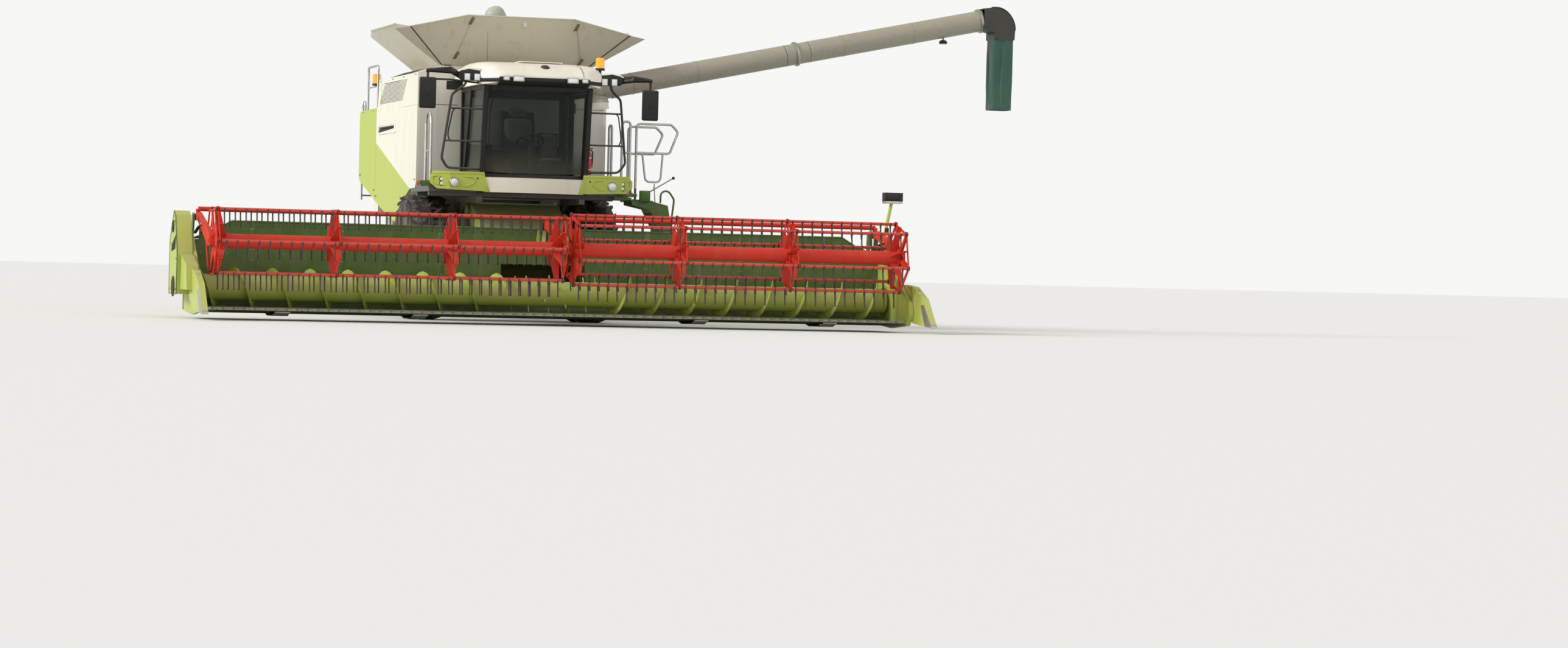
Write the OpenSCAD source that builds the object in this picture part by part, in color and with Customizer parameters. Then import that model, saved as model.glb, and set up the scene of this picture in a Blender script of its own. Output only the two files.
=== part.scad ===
// Combine harvester with a wide grain header and its unloading auger swung out.
// Millimetres. +Z up, the front faces -Y, the machine's left side is +X.
// Places are worked out from the ground point below the front axle, then moved
// so that the origin lies at the middle of the floor that the machine covers.

/* [Wheels] */
// Outside diameter of a front tyre, to the lug tips
front_tyre_d = 1960; // [1860:10:2000]
// Width of a front tyre
front_tyre_w = 680; // [600:10:700]
// Distance between the middles of the front tyres
front_track = 2660; // [2640:10:2760]
// Outside diameter of a rear tyre, to the lug tips
rear_tyre_d = 1400; // [1300:10:1440]
// Width of a rear tyre
rear_tyre_w = 480; // [420:10:520]
// Distance between the middles of the rear tyres
rear_track = 2700; // [2660:10:2760]
// Distance from the front axle to the rear axle
wheelbase = 3750; // [3700:10:3850]

/* [Body] */
// Width across the outer side panels
body_w = 3030; // [2990:10:3060]
// Thickness of the outer side panels
panel_t = 40; // [30:1:50]
// Height of the grain tank's rim above the ground
tank_top = 3960; // [3930:10:4000]
// Width of the grain tank's mouth between its cover hinges
mouth_w = 2270; // [2220:10:2300]
// Thickness of the grain tank's walls
tank_wall = 40; // [30:1:50]
// How far the raised covers stand above the rim at the middle
cover_rise = 765; // [700:5:800]
// Thickness of a tank cover
cover_t = 24; // [16:1:30]

/* [Cab] */
// Width of the cab
cab_w = 1700; // [1660:10:1720]
// Height of the cab's floor above the ground
floor_z = 2040; // [2030:5:2070]
// How far the windscreen leans forward, in degrees
screen_lean = 9; // [6:1:10]
// Radius of the windscreen's curve
screen_r = 2600; // [2400:50:3200]
// Thickness of the window glass
glass_t = 12; // [8:1:14]
// Height of the cab's roof cap
roof_h = 300; // [280:5:320]

/* [Header] */
// Clear width between the header's end walls
header_w = 10640; // [10560:10:10700]
// Thickness of an end wall
end_wall_t = 60; // [40:5:70]
// Outside diameter of the intake auger's flights
intake_d = 600; // [560:10:620]
// Diameter of the intake auger's tube
intake_tube_d = 380; // [340:10:400]
// Pitch of the intake auger's flights
intake_pitch = 560; // [500:10:620]
// Height of the knife above the ground
knife_z = 165; // [155:5:190]
// Spacing of the knife's fingers
finger_pitch = 152; // [144:1:170]

/* [Reel] */
// Radius from the reel's axis to a tine bar
reel_r = 525; // [510:5:535]
// Diameter of the reel's middle tube
reel_tube_d = 210; // [180:5:240]
// Diameter of a tine bar
tine_bar_d = 46; // [40:1:50]
// Length of a tine below its bar
tine_len = 235; // [200:5:245]
// Tines between two spiders
tines_per_bay = 11; // [9:1:11]

/* [Unloading auger] */
// Outside diameter of the auger tube
auger_d = 340; // [320:5:350]
// Reach of the auger tube beyond its pivot
auger_reach = 6600; // [6400:10:6700]
// How far the tube rises outwards, in degrees
auger_rise = 12; // [11:1:13]
// Length of the hanging canvas chute
chute_l = 1240; // [1000:10:1300]

/* [Rails and mirrors] */
// Diameter of a handrail tube
rail_d = 36; // [30:1:40]
// Height of a mirror
mirror_h = 450; // [400:10:480]
// Width of a mirror
mirror_w = 230; // [200:10:250]

/* [Hidden] */

$fn = 48;
LEFT = 1;
RIGHT = -1;
BOTH = [LEFT, RIGHT];
// Flat gap at pivots and hubs, and the radial gap of a pin
seat_gap = 0.3;
pin_gap = 0.3;

// ---- wheels
front_r = front_tyre_d / 2;
rear_r = rear_tyre_d / 2;
front_rim_d = 820;
rear_rim_d = 620;
front_hub_r = 150;
rear_hub_r = 95;
kingpin_x = 1010;
kingpin_r = 38;

// ---- body
half_w = body_w / 2;
inner_x = half_w - panel_t;
core_x = 760;
body_front_y = -300;
tank_rear_y = 1960;
hood_rear_y = 4500;
ledge_z = 3400;
shoulder_z = 3850;
deck_rear_y = 2850;

// ---- cab
cab_x = cab_w / 2;
cab_rear_y = -420;
screen_foot = [-1985, 2270];
door_hinge_y = -860;
screen_top_z = 3610;
post_w = 70;
lean_y = (screen_top_z - screen_foot[1]) * tan(screen_lean);

// ---- header
half_header = header_w / 2;
intake_axis = [-3000, 460];
wall_y = -2600;
wall_top_z = 1430;
knife_y = -3980;
drive_w = 225;
feeder_pivot = [-330, 1750];
feeder_x = 690;

// ---- reel
reel_axis = [-4000, 1130];
arm_pivot = [-2660, 1475];
reel_in = 95;
reel_out = half_header - 160;
spider_x = [for (f = [0, 0.32, 0.66, 1]) reel_in + f * (reel_out - reel_in)];
left_phase = 12.9;
right_phase = 30;
arm_t = 60;

// ---- unloading auger, whose pivot leans so that the tube lies level when stowed
turret = [1400, 0, 3500];
turret_tilt = 8.25;
turret_turn = 134.2;
tube_z0 = 190;
tube_l = auger_reach / cos(auger_rise);
tube_end = [turret[0] + auger_reach, 0, turret[2] + tube_z0 + auger_reach * tan(auger_rise)];

// ---- lift cylinders: chassis eye and feeder eye, as [y, z]
lift_x = 560;
lift_foot = [-330, 640];
lift_eye = [-1560, 560];
lift_len = norm(lift_eye - lift_foot);
lift_ang = atan2(lift_eye[1] - lift_foot[1], lift_foot[0] - lift_eye[0]);

// ---- the floor's middle
x_min = -half_header - 0.2 - end_wall_t - drive_w;
x_max = tube_end[0] + 420;
y_min = -5000;
y_max = 5430;
shift = [-(x_min + x_max) / 2, -(y_min + y_max) / 2, 0];

// ---- helpers
module place() { translate(shift) children(); }

module box(x0, x1, y0, y1, z0, z1) {
    translate([x0, y0, z0]) cube([x1 - x0, y1 - y0, z1 - z0]);
}

// A side profile of [y, z] points, from x0 to x1
module side_prism(points, x0, x1) {
    translate([x0, 0, 0]) rotate([90, 0, 90]) linear_extrude(x1 - x0) polygon(points);
}

// A front profile of [x, z] points, from y0 to y1
module front_prism(points, y0, y1) {
    translate([0, y1, 0]) rotate([90, 0, 0]) linear_extrude(y1 - y0) polygon(points);
}

// A round bar between two points
module bar(a, b, d) {
    v = b - a;
    l = norm(v);
    translate(a) rotate([0, acos(v[2] / l), atan2(v[1], v[0])]) cylinder(h = l, d = d);
}

// A route's straights and the arcs that round its corners, as points
function unit(v) = v / norm(v);
function turn_at(p, i) = acos(max(-1, min(1, unit(p[i] - p[i - 1]) * unit(p[i + 1] - p[i]))));

function corner_arc(p, i, r) =
    let (u = unit(p[i] - p[i - 1]), v = unit(p[i + 1] - p[i]), turn = turn_at(p, i),
         c = p[i] + unit(v - u) * r / cos(turn / 2),
         e = unit(p[i] - u * r * tan(turn / 2) - c), m = ceil(turn / 30))
    [for (k = [0 : m]) c + r * (e * cos(turn * k / m) + u * sin(turn * k / m))];

function route(p, r) = [p[0], for (i = [1 : len(p) - 2]) each corner_arc(p, i, r), p[len(p) - 1]];

function heading(q, i) = i == 0 ? unit(q[1] - q[0]) : i == len(q) - 1
    ? unit(q[i] - q[i - 1]) : unit(unit(q[i] - q[i - 1]) + unit(q[i + 1] - q[i]));

function side_ways(q, i, last) = i == len(q) ? [] :
    let (t = heading(q, i), g = i > 0 ? last : abs(t[2]) < 0.9 ? [0, 0, 1] : [1, 0, 0],
         n = unit(g - (g * t) * t))
    concat([n], side_ways(q, i + 1, n));

// Faces of a tube whose rings of k points follow one another
function ring_faces(rings, k) = concat([[for (j = [0 : k - 1]) j]],
    [[for (j = [k - 1 : -1 : 0]) (rings - 1) * k + j]],
    [for (i = [0 : rings - 2], j = [0 : k - 1])
        each [[i * k + j, (i + 1) * k + j, (i + 1) * k + (j + 1) % k],
              [i * k + j, (i + 1) * k + (j + 1) % k, i * k + (j + 1) % k]]]);

// A tube bent through points, swept with eight sides
module pipe(p, d, r = 60) {
    q = route(p, r);
    ways = side_ways(q, 0, [0, 0, 1]);
    polyhedron(
        points = [for (i = [0 : len(q) - 1], a = [22.5 : 45 : 359]) q[i]
            + d / 2 / cos(22.5) * (ways[i] * cos(a) + cross(heading(q, i), ways[i]) * sin(a))],
        faces = ring_faces(len(q), 8));
}

module x_rod(x0, x1, y, z, d) {
    translate([x0, y, z]) rotate([0, 90, 0]) cylinder(h = x1 - x0, d = d);
}

function mirror_x(points) = [for (i = [len(points) - 1 : -1 : 0]) [-points[i][0], points[i][1]]];

// ---- wheels
// A tyre's section: bead, bulged wall, shoulder and crown, as [radius, width]
function tyre_section(r, w, rim_r, bead) =
    let (h = r - rim_r,
         half = [[rim_r, bead], [rim_r + 28, bead], [rim_r + 0.16 * h, 0.46 * w],
                 [rim_r + 0.32 * h, 0.495 * w],
                 [rim_r + 0.52 * h, 0.5 * w], [rim_r + 0.74 * h, 0.485 * w],
                 [rim_r + 0.90 * h, 0.44 * w], [r - 0.03 * h, 0.33 * w], [r, 0.12 * w]])
    concat(half, [for (i = [len(half) - 1 : -1 : 0]) [half[i][0], -half[i][1]]]);

module tyre(d, w, rim_d, lug_n, lug_h, turn) {
    r = d / 2 - lug_h;
    bead = 0.38 * w;
    slant = 45;
    rotate([0, 90, 0]) union() {
        rotate_extrude($fn = 64) polygon(tyre_section(r, w, rim_d / 2, bead));
        intersection() {
            rotate_extrude($fn = 64) polygon([
                [r - 60, -0.47 * w], [d / 2 - 45, -0.47 * w], [d / 2, -0.30 * w],
                [d / 2, 0.30 * w], [d / 2 - 45, 0.47 * w], [r - 60, 0.47 * w]]);
            union() {
                for (side = [-1, 1], i = [0 : lug_n - 1])
                    rotate([0, 0, 360 * (i + (side > 0 ? 0.5 : 0)) / lug_n])
                        translate([r - 80, 0, 0])
                            rotate([turn * side * slant, 0, 0])
                                translate([0, -0.03 * w, side > 0 ? -0.02 * w : -0.68 * w])
                                    cube([200, 0.06 * w, 0.70 * w]);
            }
        }
    }
}

// A dished rim: barrel with flanges, disc, hub flange and bolt holes
module rim(rim_d, w, disc_x, hub_r, bolts) {
    r = rim_d / 2;
    b = 0.38 * w;
    inner = hub_r + 0.30 * (r - hub_r);
    outer = hub_r + 0.62 * (r - hub_r);
    rotate([0, 90, 0]) difference() {
        union() {
            rotate_extrude($fn = 64) polygon([
                [r - 16, -b - 14], [r + 26, -b - 14], [r + 26, -b], [r, -b], [r, b],
                [r + 26, b], [r + 26, b + 14], [r - 16, b + 14]]);
            rotate_extrude($fn = 64) polygon([
                [hub_r + 1, disc_x], [inner, disc_x], [outer, disc_x - 70],
                [r - 14, disc_x - 70], [r - 14, disc_x - 52], [outer + 6, disc_x - 52],
                [inner + 6, disc_x + 20], [hub_r + 1, disc_x + 20]]);
        }
        for (i = [0 : bolts - 1]) rotate([0, 0, 360 * i / bolts])
            translate([(hub_r + inner) / 2, 0, disc_x - 5]) cylinder(h = 40, d = 26);
    }
}

module front_wheel_place(side) {
    translate([side * front_track / 2, 0, front_r]) mirror([side < 0 ? 1 : 0, 0, 0]) children();
}

module rear_wheel_place(side) {
    translate([side * rear_track / 2, wheelbase, rear_r])
        mirror([side < 0 ? 1 : 0, 0, 0]) children();
}

module front_tyre(side) {
    color([0.06, 0.06, 0.06]) place() front_wheel_place(side)
        tyre(front_tyre_d, front_tyre_w, front_rim_d, 22, 50, 1);
}

module rear_tyre(side) {
    color([0.06, 0.06, 0.06]) place() rear_wheel_place(side)
        tyre(rear_tyre_d, rear_tyre_w, rear_rim_d, 18, 38, 1);
}

module front_rim(side) {
    color([0.75, 0.72, 0.55]) place() front_wheel_place(side)
        rim(front_rim_d, front_tyre_w, 60, front_hub_r, 12);
}

module rear_rim(side) {
    color([0.75, 0.72, 0.55]) place() rear_wheel_place(side)
        rim(rear_rim_d, rear_tyre_w, 30, rear_hub_r, 10);
}

// The driving axle: cross beam, final drives and wheel hubs
module front_axle() {
    hub_in = front_track / 2 + 60 - seat_gap;
    color([0.16, 0.17, 0.17]) place() union() {
        box(-780, 780, -150, 150, 840, 1120);
        side_prism([[-150, 1119], [150, 1119], [150, 1158], [-150, 1200]], -500, 500);
        for (s = BOTH) {
            x_rod(s * 860 - 90, s * 860 + 90, 0, front_r, 600);
            x_rod(s > 0 ? 940 : -hub_in, s > 0 ? hub_in : -940, 0, front_r, 420);
            x_rod(s > 0 ? hub_in - 1 : -hub_in - 60, s > 0 ? hub_in + 60 : -hub_in + 1,
                  0, front_r, 2 * front_hub_r);
            // lugs that carry the feeder lift cylinders
            for (e = [-48, 48]) difference() {
                side_prism([[-150, 900], [-150, 740], [lift_foot[0] - 50, 590],
                    [lift_foot[0] - 50, 700], [-220, 900]],
                    s * lift_x + e - 14, s * lift_x + e + 14);
                x_rod(s * lift_x - 90, s * lift_x + 90, lift_foot[0], lift_foot[1], 50);
            }
            x_rod(s * lift_x - 66, s * lift_x + 66, lift_foot[0], lift_foot[1], 50);
        }
    }
}

// The steered axle: swinging beam with forked ends, and the trailer hitch
module rear_axle() {
    bz = rear_r + 30;
    color([0.16, 0.17, 0.17]) place() difference() {
        union() {
            front_prism([[-900, bz - 80], [-500, bz - 20], [500, bz - 20], [900, bz - 80],
                [kingpin_x + 60, bz - 80], [kingpin_x + 60, bz - 140], [900, bz - 140],
                [500, bz - 140 + 20], [-500, bz - 140 + 20], [-900, bz - 140],
                [-kingpin_x - 60, bz - 140], [-kingpin_x - 60, bz - 80]],
                wheelbase - 110, wheelbase + 110);
            for (s = BOTH)
                box(s * (kingpin_x - 10) - 70, s * (kingpin_x - 10) + 70,
                    wheelbase - 70, wheelbase + 70, bz + 80, bz + 130);
            for (s = BOTH)
                box(s * 900 - 30, s * 900 + 30, wheelbase - 70, wheelbase + 70,
                    bz - 90, bz + 130);
            // pivot block up to the body
            side_prism([[wheelbase - 260, 1455], [wheelbase - 120, bz - 40],
                [wheelbase + 120, bz - 40], [wheelbase + 260, 1455]], -150, 150);
            // draw bar to the hitch jaw
            side_prism([[wheelbase + 100, bz - 30], [wheelbase + 100, bz - 110],
                [wheelbase + 560, 560], [wheelbase + 560, 720]], -60, 60);
            box(-60, 60, wheelbase + 555, wheelbase + 700, 560, 590);
            box(-60, 60, wheelbase + 555, wheelbase + 700, 690, 720);
        }
        for (s = BOTH) translate([s * kingpin_x, wheelbase, bz - 200])
            cylinder(h = 400, r = kingpin_r + pin_gap);
        translate([0, wheelbase + 640, 500]) cylinder(h = 300, d = 34);
    }
}

module knuckle(side) {
    bz = rear_r + 30;
    spindle = rear_track / 2 + 30 - seat_gap;
    color([0.2, 0.21, 0.21]) place() mirror([side < 0 ? 1 : 0, 0, 0]) union() {
        translate([kingpin_x, wheelbase, bz - 165]) cylinder(h = 320, r = kingpin_r);
        translate([kingpin_x, wheelbase, bz - 80 + seat_gap])
            cylinder(h = 160 - 2 * seat_gap, r = 68);
        x_rod(kingpin_x, spindle, wheelbase, rear_r, 90);
        x_rod(spindle - 1, spindle + 40, wheelbase, rear_r, 2 * rear_hub_r);
        x_rod(spindle - 40, spindle, wheelbase, rear_r, 300);
        // steering arm
        translate([0, 0, bz - 185]) linear_extrude(20) polygon([
            [kingpin_x - 40, wheelbase + 40], [kingpin_x + 40, wheelbase + 40],
            [kingpin_x - 60, wheelbase - 330], [kingpin_x - 130, wheelbase - 330]]);
    }
}

// ---- body
// The housing that the threshing and cleaning parts run in
module threshing_body() {
    color([0.55, 0.56, 0.5]) place() difference() {
        union() {
            side_prism([[-250, 1930], [-250, 1500], [-150, 1200], [350, 1130], [500, 820],
                [2550, 760], [2850, 1050], [3100, 1455], [4560, 1455], [4560, 2290],
                [2000, 2290], [2000, 2090], [-100, 2090]], -core_x, core_x);
            // chassis rails
            for (s = BOTH) box(s * 800 - 40, s * 800 + 40, -140, 4300, 1480, 1680);
            // bearings that the feeder house hangs in
            for (s = BOTH) side_prism([[-251, 1560], [-430, 1660], [-470, 1720], [-470, 1790],
                [-430, 1850], [-251, 1900]], s * 732 - 28, s * 732 + 28);
            // elevator on the left and drive cover on the right
            side_prism([[1160, 900], [1560, 900], [1560, 2080], [1060, 2080]],
                core_x, core_x + 260);
            side_prism([[300, 1500], [2900, 1500], [2900, 2080], [300, 2080]],
                -core_x - 200, -core_x);
        }
        box(-500, 500, -300, 300, 1500, 1900);
        x_rod(-800, 800, feeder_pivot[0], feeder_pivot[1], 200 + 2 * pin_gap);
    }
}

module engine_block() {
    color([0.35, 0.36, 0.36]) place() box(-600, 600, 2350, 3650, 2330, 3100);
}

// The tank: sloping floor, open mouth, ledges and the auger's tower
module grain_tank() {
    mx = mouth_w / 2;
    w = tank_wall;
    xi = inner_x;
    color([0.62, 0.64, 0.6]) place() difference() {
        union() {
            front_prism([[-mx - w, tank_top], [-xi, shoulder_z], [-xi, 2700], [-core_x, 2090], [core_x, 2090],
                [xi, 2700], [xi, ledge_z], [mx + w, ledge_z], [mx + w, tank_top]],
                body_front_y, tank_rear_y);
            // front bulkhead that closes the space above the front wheels
            box(-xi, xi, body_front_y, body_front_y + w, 2060, 2701);
            intersection() {
                translate(turret) rotate([0, turret_tilt, turret_turn])
                    translate([0, 0, -260]) cylinder(h = 260, r = 215);
                union() {
                    box(1180, xi, -300, 300, ledge_z - 1, 3700);
                    box(1180, 1700, -300, 300, ledge_z + seat_gap, 3700);
                }
            }
        }
        front_prism([[-mx + w, tank_top + 1], [-mx + w, tank_top - 60],
            [-xi + w, shoulder_z - 50], [-xi + w, 2725], [-core_x + 15, 2090 + w],
            [core_x - 15, 2090 + w],
            [xi - w, 2725], [xi - w, 3200], [mx, ledge_z - w], [mx, tank_top + 1]],
            body_front_y + w, tank_rear_y - w);
    }
}

// The raised covers' corners at an inward offset: four hinge corners, then for each
// corner three points of the upper edge, all in order round the tank
function cover_points(o) =
    let (mx = mouth_w / 2, y0 = body_front_y + 30, y1 = tank_rear_y - 30, z0 = tank_top + 6,
         zs = z0 + 0.82 * cover_rise, zc = z0 + 0.73 * cover_rise, zf = z0 + cover_rise,
         right = [mx + 735 - o, y0 + 110, zs], corner = [mx + 615 - o, y0 - 510 + o, zc],
         front = [850, y0 - 560 + o, zf], ym = y0 + y1)
    concat([[-mx + o, y0 + o, z0], [mx - o, y0 + o, z0], [mx - o, y1 - o, z0], [-mx + o, y1 - o, z0]],
        [for (q = [right, corner, front]) [-q[0], q[1], q[2]]],
        [front, corner, right],
        [for (q = [right, corner, front]) [q[0], ym - q[1], q[2]]],
        [for (q = [front, corner, right]) [-q[0], ym - q[1], q[2]]]);

// Leaves and corner gussets of one skin, seen from outside
cover_skin = [for (k = [0 : 3]) each [
    [k, 4 + 3 * k, 5 + 3 * k], [k, 5 + 3 * k, 6 + 3 * k],
    [k, 6 + 3 * k, 4 + 3 * ((k + 1) % 4), (k + 1) % 4]]];

// Hinged tank covers, raised, with their corner gussets, on a hinge rail
module tank_extension() {
    mx = mouth_w / 2;
    y0 = body_front_y + 30;
    y1 = tank_rear_y - 30;
    color([0.80, 0.80, 0.74]) place() union() {
        polyhedron(points = concat(cover_points(0), cover_points(cover_t)), faces = concat(
            cover_skin,
            [for (f = cover_skin) [for (i = [len(f) - 1 : -1 : 0]) f[i] + 16]],
            [for (i = [0 : 11]) let (a = 4 + i, b = 4 + (i + 1) % 12) each
                [[a, a + 16, b + 16], [a, b + 16, b]]],
            [for (k = [0 : 3]) [k, (k + 1) % 4, (k + 1) % 4 + 16, k + 16]]));
        difference() {
            box(-mx, mx, y0, y1, tank_top, tank_top + 6);
            box(-mx + cover_t, mx - cover_t, y0 + cover_t, y1 - cover_t,
                tank_top - 1, tank_top + 7);
        }
    }
}

module side_outline(x0, top, y_top) {
    side_prism([[body_front_y, top], [body_front_y, 2120], [-240, 2050], [150, 2045],
        [520, 1925], [780, 1700], [905, 1500], [1000, 1462], [2575, 1775],
        [4430, 2235], [hood_rear_y, 2300], [hood_rear_y, 3340],
        [4440, 3392], [y_top + 90, 3410], [y_top, top]], x0, x0 + panel_t);
}

module side_panel(side, top, y_top) {
    y_seam = 3040;
    x0 = inner_x;
    color([0.85, 0.86, 0.78]) place() mirror([side < 0 ? 1 : 0, 0, 0]) difference() {
        side_outline(x0, top, y_top);
        // seams between the panels, and the crease between the two paints
        box(half_w - 12, half_w + 1, y_seam - 6, y_seam + 6, 1400, 4100);
        box(half_w - 8, half_w + 1, body_front_y - 1, 950, 3338, 3346);
        box(half_w - 8, half_w + 1, 945, 953, 3346, 4100);
        side_prism([[-400, 1872], [y_seam - 6, 2828], [y_seam - 6, 2838], [-400, 1882]],
            half_w - 6, half_w + 1);
        // air slot with the line under it, and the perforated field
        box(x0 - 1, half_w + 1, 1560, 2800, 3030, 3080);
        box(half_w - 8, half_w + 1, 1400, 2790, 2950, 2960);
        side_prism([[1060, 3440], [2680, 3440], [2640, 3780], [1120, 3780]],
            half_w - 10, half_w + 1);
    }
}

// Engine deck and rear hood, with the cooling intake box on its right
module rear_hood() {
    y0 = tank_rear_y;
    xi = inner_x;
    color([0.80, 0.81, 0.74]) place() difference() {
        union() {
            difference() {
                union() {
                    side_prism([[y0, 3380], [y0, 2290], [hood_rear_y + 40, 2290],
                        [hood_rear_y + 40, 3302], [4250, 3360], [3200, 3380]], -xi, xi);
                    side_prism([[4400, 3331], [4400, 2290], [4560, 2290], [4700, 1700],
                        [5050, 1700], [5150, 2300], [4950, 3060], [4560, 3300]], -1140, 1140);
                }
                side_prism([[y0 + 40, 3340], [y0 + 40, 2330], [4500, 2330], [4500, 3275],
                    [4250, 3320], [3200, 3340]], -xi + 40, xi - 40);
                side_prism([[4450, 3284], [4450, 2330], [4900, 2330], [4980, 2500],
                    [4900, 3030], [4540, 3262]], -1100, 1100);
            }
            // exhaust stack and air intake
            translate([620, 3000, 3379]) cylinder(h = 420, d = 170);
            translate([-300, 2600, 3379]) cylinder(h = 260, d = 320);
            translate([-300, 2600, 3600]) cylinder(h = 120, d = 420);
            // rotary screen housing
            box(-1180, -500, 2950, 3700, 3379, 3600);
            // raised housing over the cooler on the right
            front_prism([[-xi, 3379], [-xi, shoulder_z - 4], [-1080, shoulder_z + 60],
                [-940, 3379]], y0, deck_rear_y);
        }
        for (i = [0 : 5]) box(-1150, -530, 3010 + 110 * i, 3070 + 110 * i, 3560, 3601);
    }
}

// Straw hood and spreader under the rear end
module straw_chopper() {
    color([0.5, 0.51, 0.5]) place() union() {
        difference() {
            side_prism([[4560, 2290], [4560, 1500], [4800, 1180], [5200, 1050], [5350, 1250],
                [5050, 1700], [4700, 1700]], -820, 820);
            side_prism([[4600, 2200], [4600, 1520], [4820, 1150], [5260, 1000], [5290, 1180],
                [5000, 1620], [4720, 1640]], -790, 790);
        }
        x_rod(-795, 795, 4850, 1560, 200);
        // spreading vanes and side deflectors
        for (i = [-3 : 3]) side_prism([[5260, 1060], [5430, 990], [5430, 1010], [5300, 1250]],
            i * 240 - 6, i * 240 + 6);
        box(-900, 900, 5250, 5300, 1020, 1060);
        for (s = BOTH) box(s * 860 - 40, s * 860 + 40, 4600, 5250, 1500, 1640);
    }
}

// ---- cab
// The cab's outline seen from above, with a bowed front
module cab_plan(inset) {
    intersection() {
        translate([-cab_x, -3200]) square([cab_w, 3200 + cab_rear_y]);
        translate([0, screen_foot[0] + screen_r]) circle(r = screen_r - inset, $fn = 240);
    }
}

// The rear edge of a front post at a height
post_foot_y = screen_foot[0] + 150;
function post_y(z) = post_foot_y + post_w
    - lean_y * (z - floor_z) / (screen_top_z - floor_z);

// A curved band across the front between two heights, leaning forward
module front_band(inset, t, x_half, z0, z1, lean) {
    translate([0, screen_foot[0], z0]) rotate([lean, 0, 0])
        intersection() {
            translate([0, screen_r, 0]) difference() {
                cylinder(h = (z1 - z0) / cos(lean), r = screen_r - inset, $fn = 240);
                translate([0, 0, -1]) cylinder(h = z1, r = screen_r - inset - t, $fn = 240);
            }
            translate([-x_half, -400, -10]) cube([2 * x_half, 1000, z1]);
        }
}

// Floor, corner posts, sills and rear wall
module cab_frame() {
    top = screen_top_z;
    yf = screen_foot[0] + 150;
    color([0.1, 0.1, 0.1]) place() difference() {
        union() {
            translate([0, 0, floor_z - 60]) linear_extrude(110) cab_plan(55);
            for (s = BOTH) {
                // front posts lean with the windscreen
                side_prism([[yf, floor_z], [yf + post_w, floor_z],
                    [yf + post_w - lean_y, top], [yf - lean_y, top]],
                    s * (cab_x - post_w / 2) - post_w / 2, s * (cab_x - post_w / 2) + post_w / 2);
                box(s * (cab_x - post_w / 2) - post_w / 2, s * (cab_x - post_w / 2) + post_w / 2,
                    cab_rear_y - post_w, cab_rear_y, floor_z, top);
                // roof rails
                side_prism([[yf - lean_y, top - 60], [cab_rear_y, top - 60],
                    [cab_rear_y, top], [yf - lean_y, top]],
                    s * (cab_x - post_w / 2) - post_w / 2, s * (cab_x - post_w / 2) + post_w / 2);
            }
            box(-cab_x, -cab_x + post_w, yf, cab_rear_y, floor_z, floor_z + 230);
            // the door's rear post, with its hinge eyes
            box(cab_x - post_w, cab_x, door_hinge_y + 26, door_hinge_y + 80, floor_z, top);
            box(cab_x - post_w, cab_x, door_hinge_y + 26, cab_rear_y, floor_z, floor_z + 60);
            for (z = [floor_z + 250, floor_z + 1250], e = [-22, 111])
                for (q = [[8, -10], [-1, 27]]) box(cab_x + q[0], cab_x + 30,
                    door_hinge_y + q[1], door_hinge_y + 40, z + e, z + e + 20);
            box(cab_x - post_w, cab_x, yf, -1642, floor_z, floor_z + 60);
            front_band(60, 60, cab_x - post_w + 5, 2215, screen_foot[1], 0);
            translate([0, -lean_y, top - 60]) intersection() {
                linear_extrude(60) cab_plan(40);
                translate([-cab_x, screen_foot[0], 0]) cube([cab_w, 340, 60]);
            }
            box(-cab_x, cab_x, cab_rear_y - 40, cab_rear_y, floor_z, top);
        }
        box(-cab_x + 130, cab_x - 130, cab_rear_y - 50, cab_rear_y + 10, 2750, 3480);
        // the windscreen's seat in the front beam
        front_band(49.7, glass_t + 0.6, 779.9, screen_foot[1], top - 60, screen_lean);
    }
}

module cab_roof() {
    z = screen_top_z;
    color([0.86, 0.87, 0.8]) place() difference() {
        union() {
            side_prism([[-2420, z + 60], [-2370, z + 25], [-2230, z], [cab_rear_y + 40, z],
                [cab_rear_y + 40, z + roof_h - 20], [-700, z + roof_h], [-1750, z + roof_h - 10],
                [-2250, z + roof_h - 110], [-2420, z + 110]], -935, 935);
        }
        // chamfered long edges and the plan's bowed front
        for (s = BOTH) mirror([s < 0 ? 1 : 0, 0, 0])
            front_prism([[760, z + roof_h + 1], [936, z + roof_h - 190], [936, z + roof_h + 1]],
                -2500, 0);
        for (s = BOTH) mirror([s < 0 ? 1 : 0, 0, 0])
            translate([0, 0, z - 10]) linear_extrude(roof_h + 20)
                polygon([[700, -2421], [936, -2421], [936, -2180]]);
    }
}

module cab_glass() {
    top = screen_top_z - 60;
    color([0.10, 0.16, 0.13]) place() union() {
        front_band(50, glass_t, 779.7, screen_foot[1], top - 2, screen_lean);
        // fixed window behind the door
        box(cab_x - 40, cab_x - 40 + glass_t, door_hinge_y + 80, cab_rear_y - post_w,
            floor_z + 60, top);
        // right side window
        side_prism([[post_y(floor_z + 230), floor_z + 230], [post_y(top), top],
            [cab_rear_y - post_w, top], [cab_rear_y - post_w, floor_z + 230]],
            -cab_x + 20, -cab_x + 20 + glass_t);
        // narrow pane between the left front post and the door
        side_prism([[post_y(floor_z + 60), floor_z + 60], [post_y(top), top],
            [-1646 - 0.72 * lean_y, top], [-1646, floor_z + 60]], cab_x - 40, cab_x - 40 + glass_t);
        // rear window
        box(-cab_x + 130, cab_x - 130, cab_rear_y - 30, cab_rear_y - 30 + glass_t, 2750, 3480);
    }
}

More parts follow.
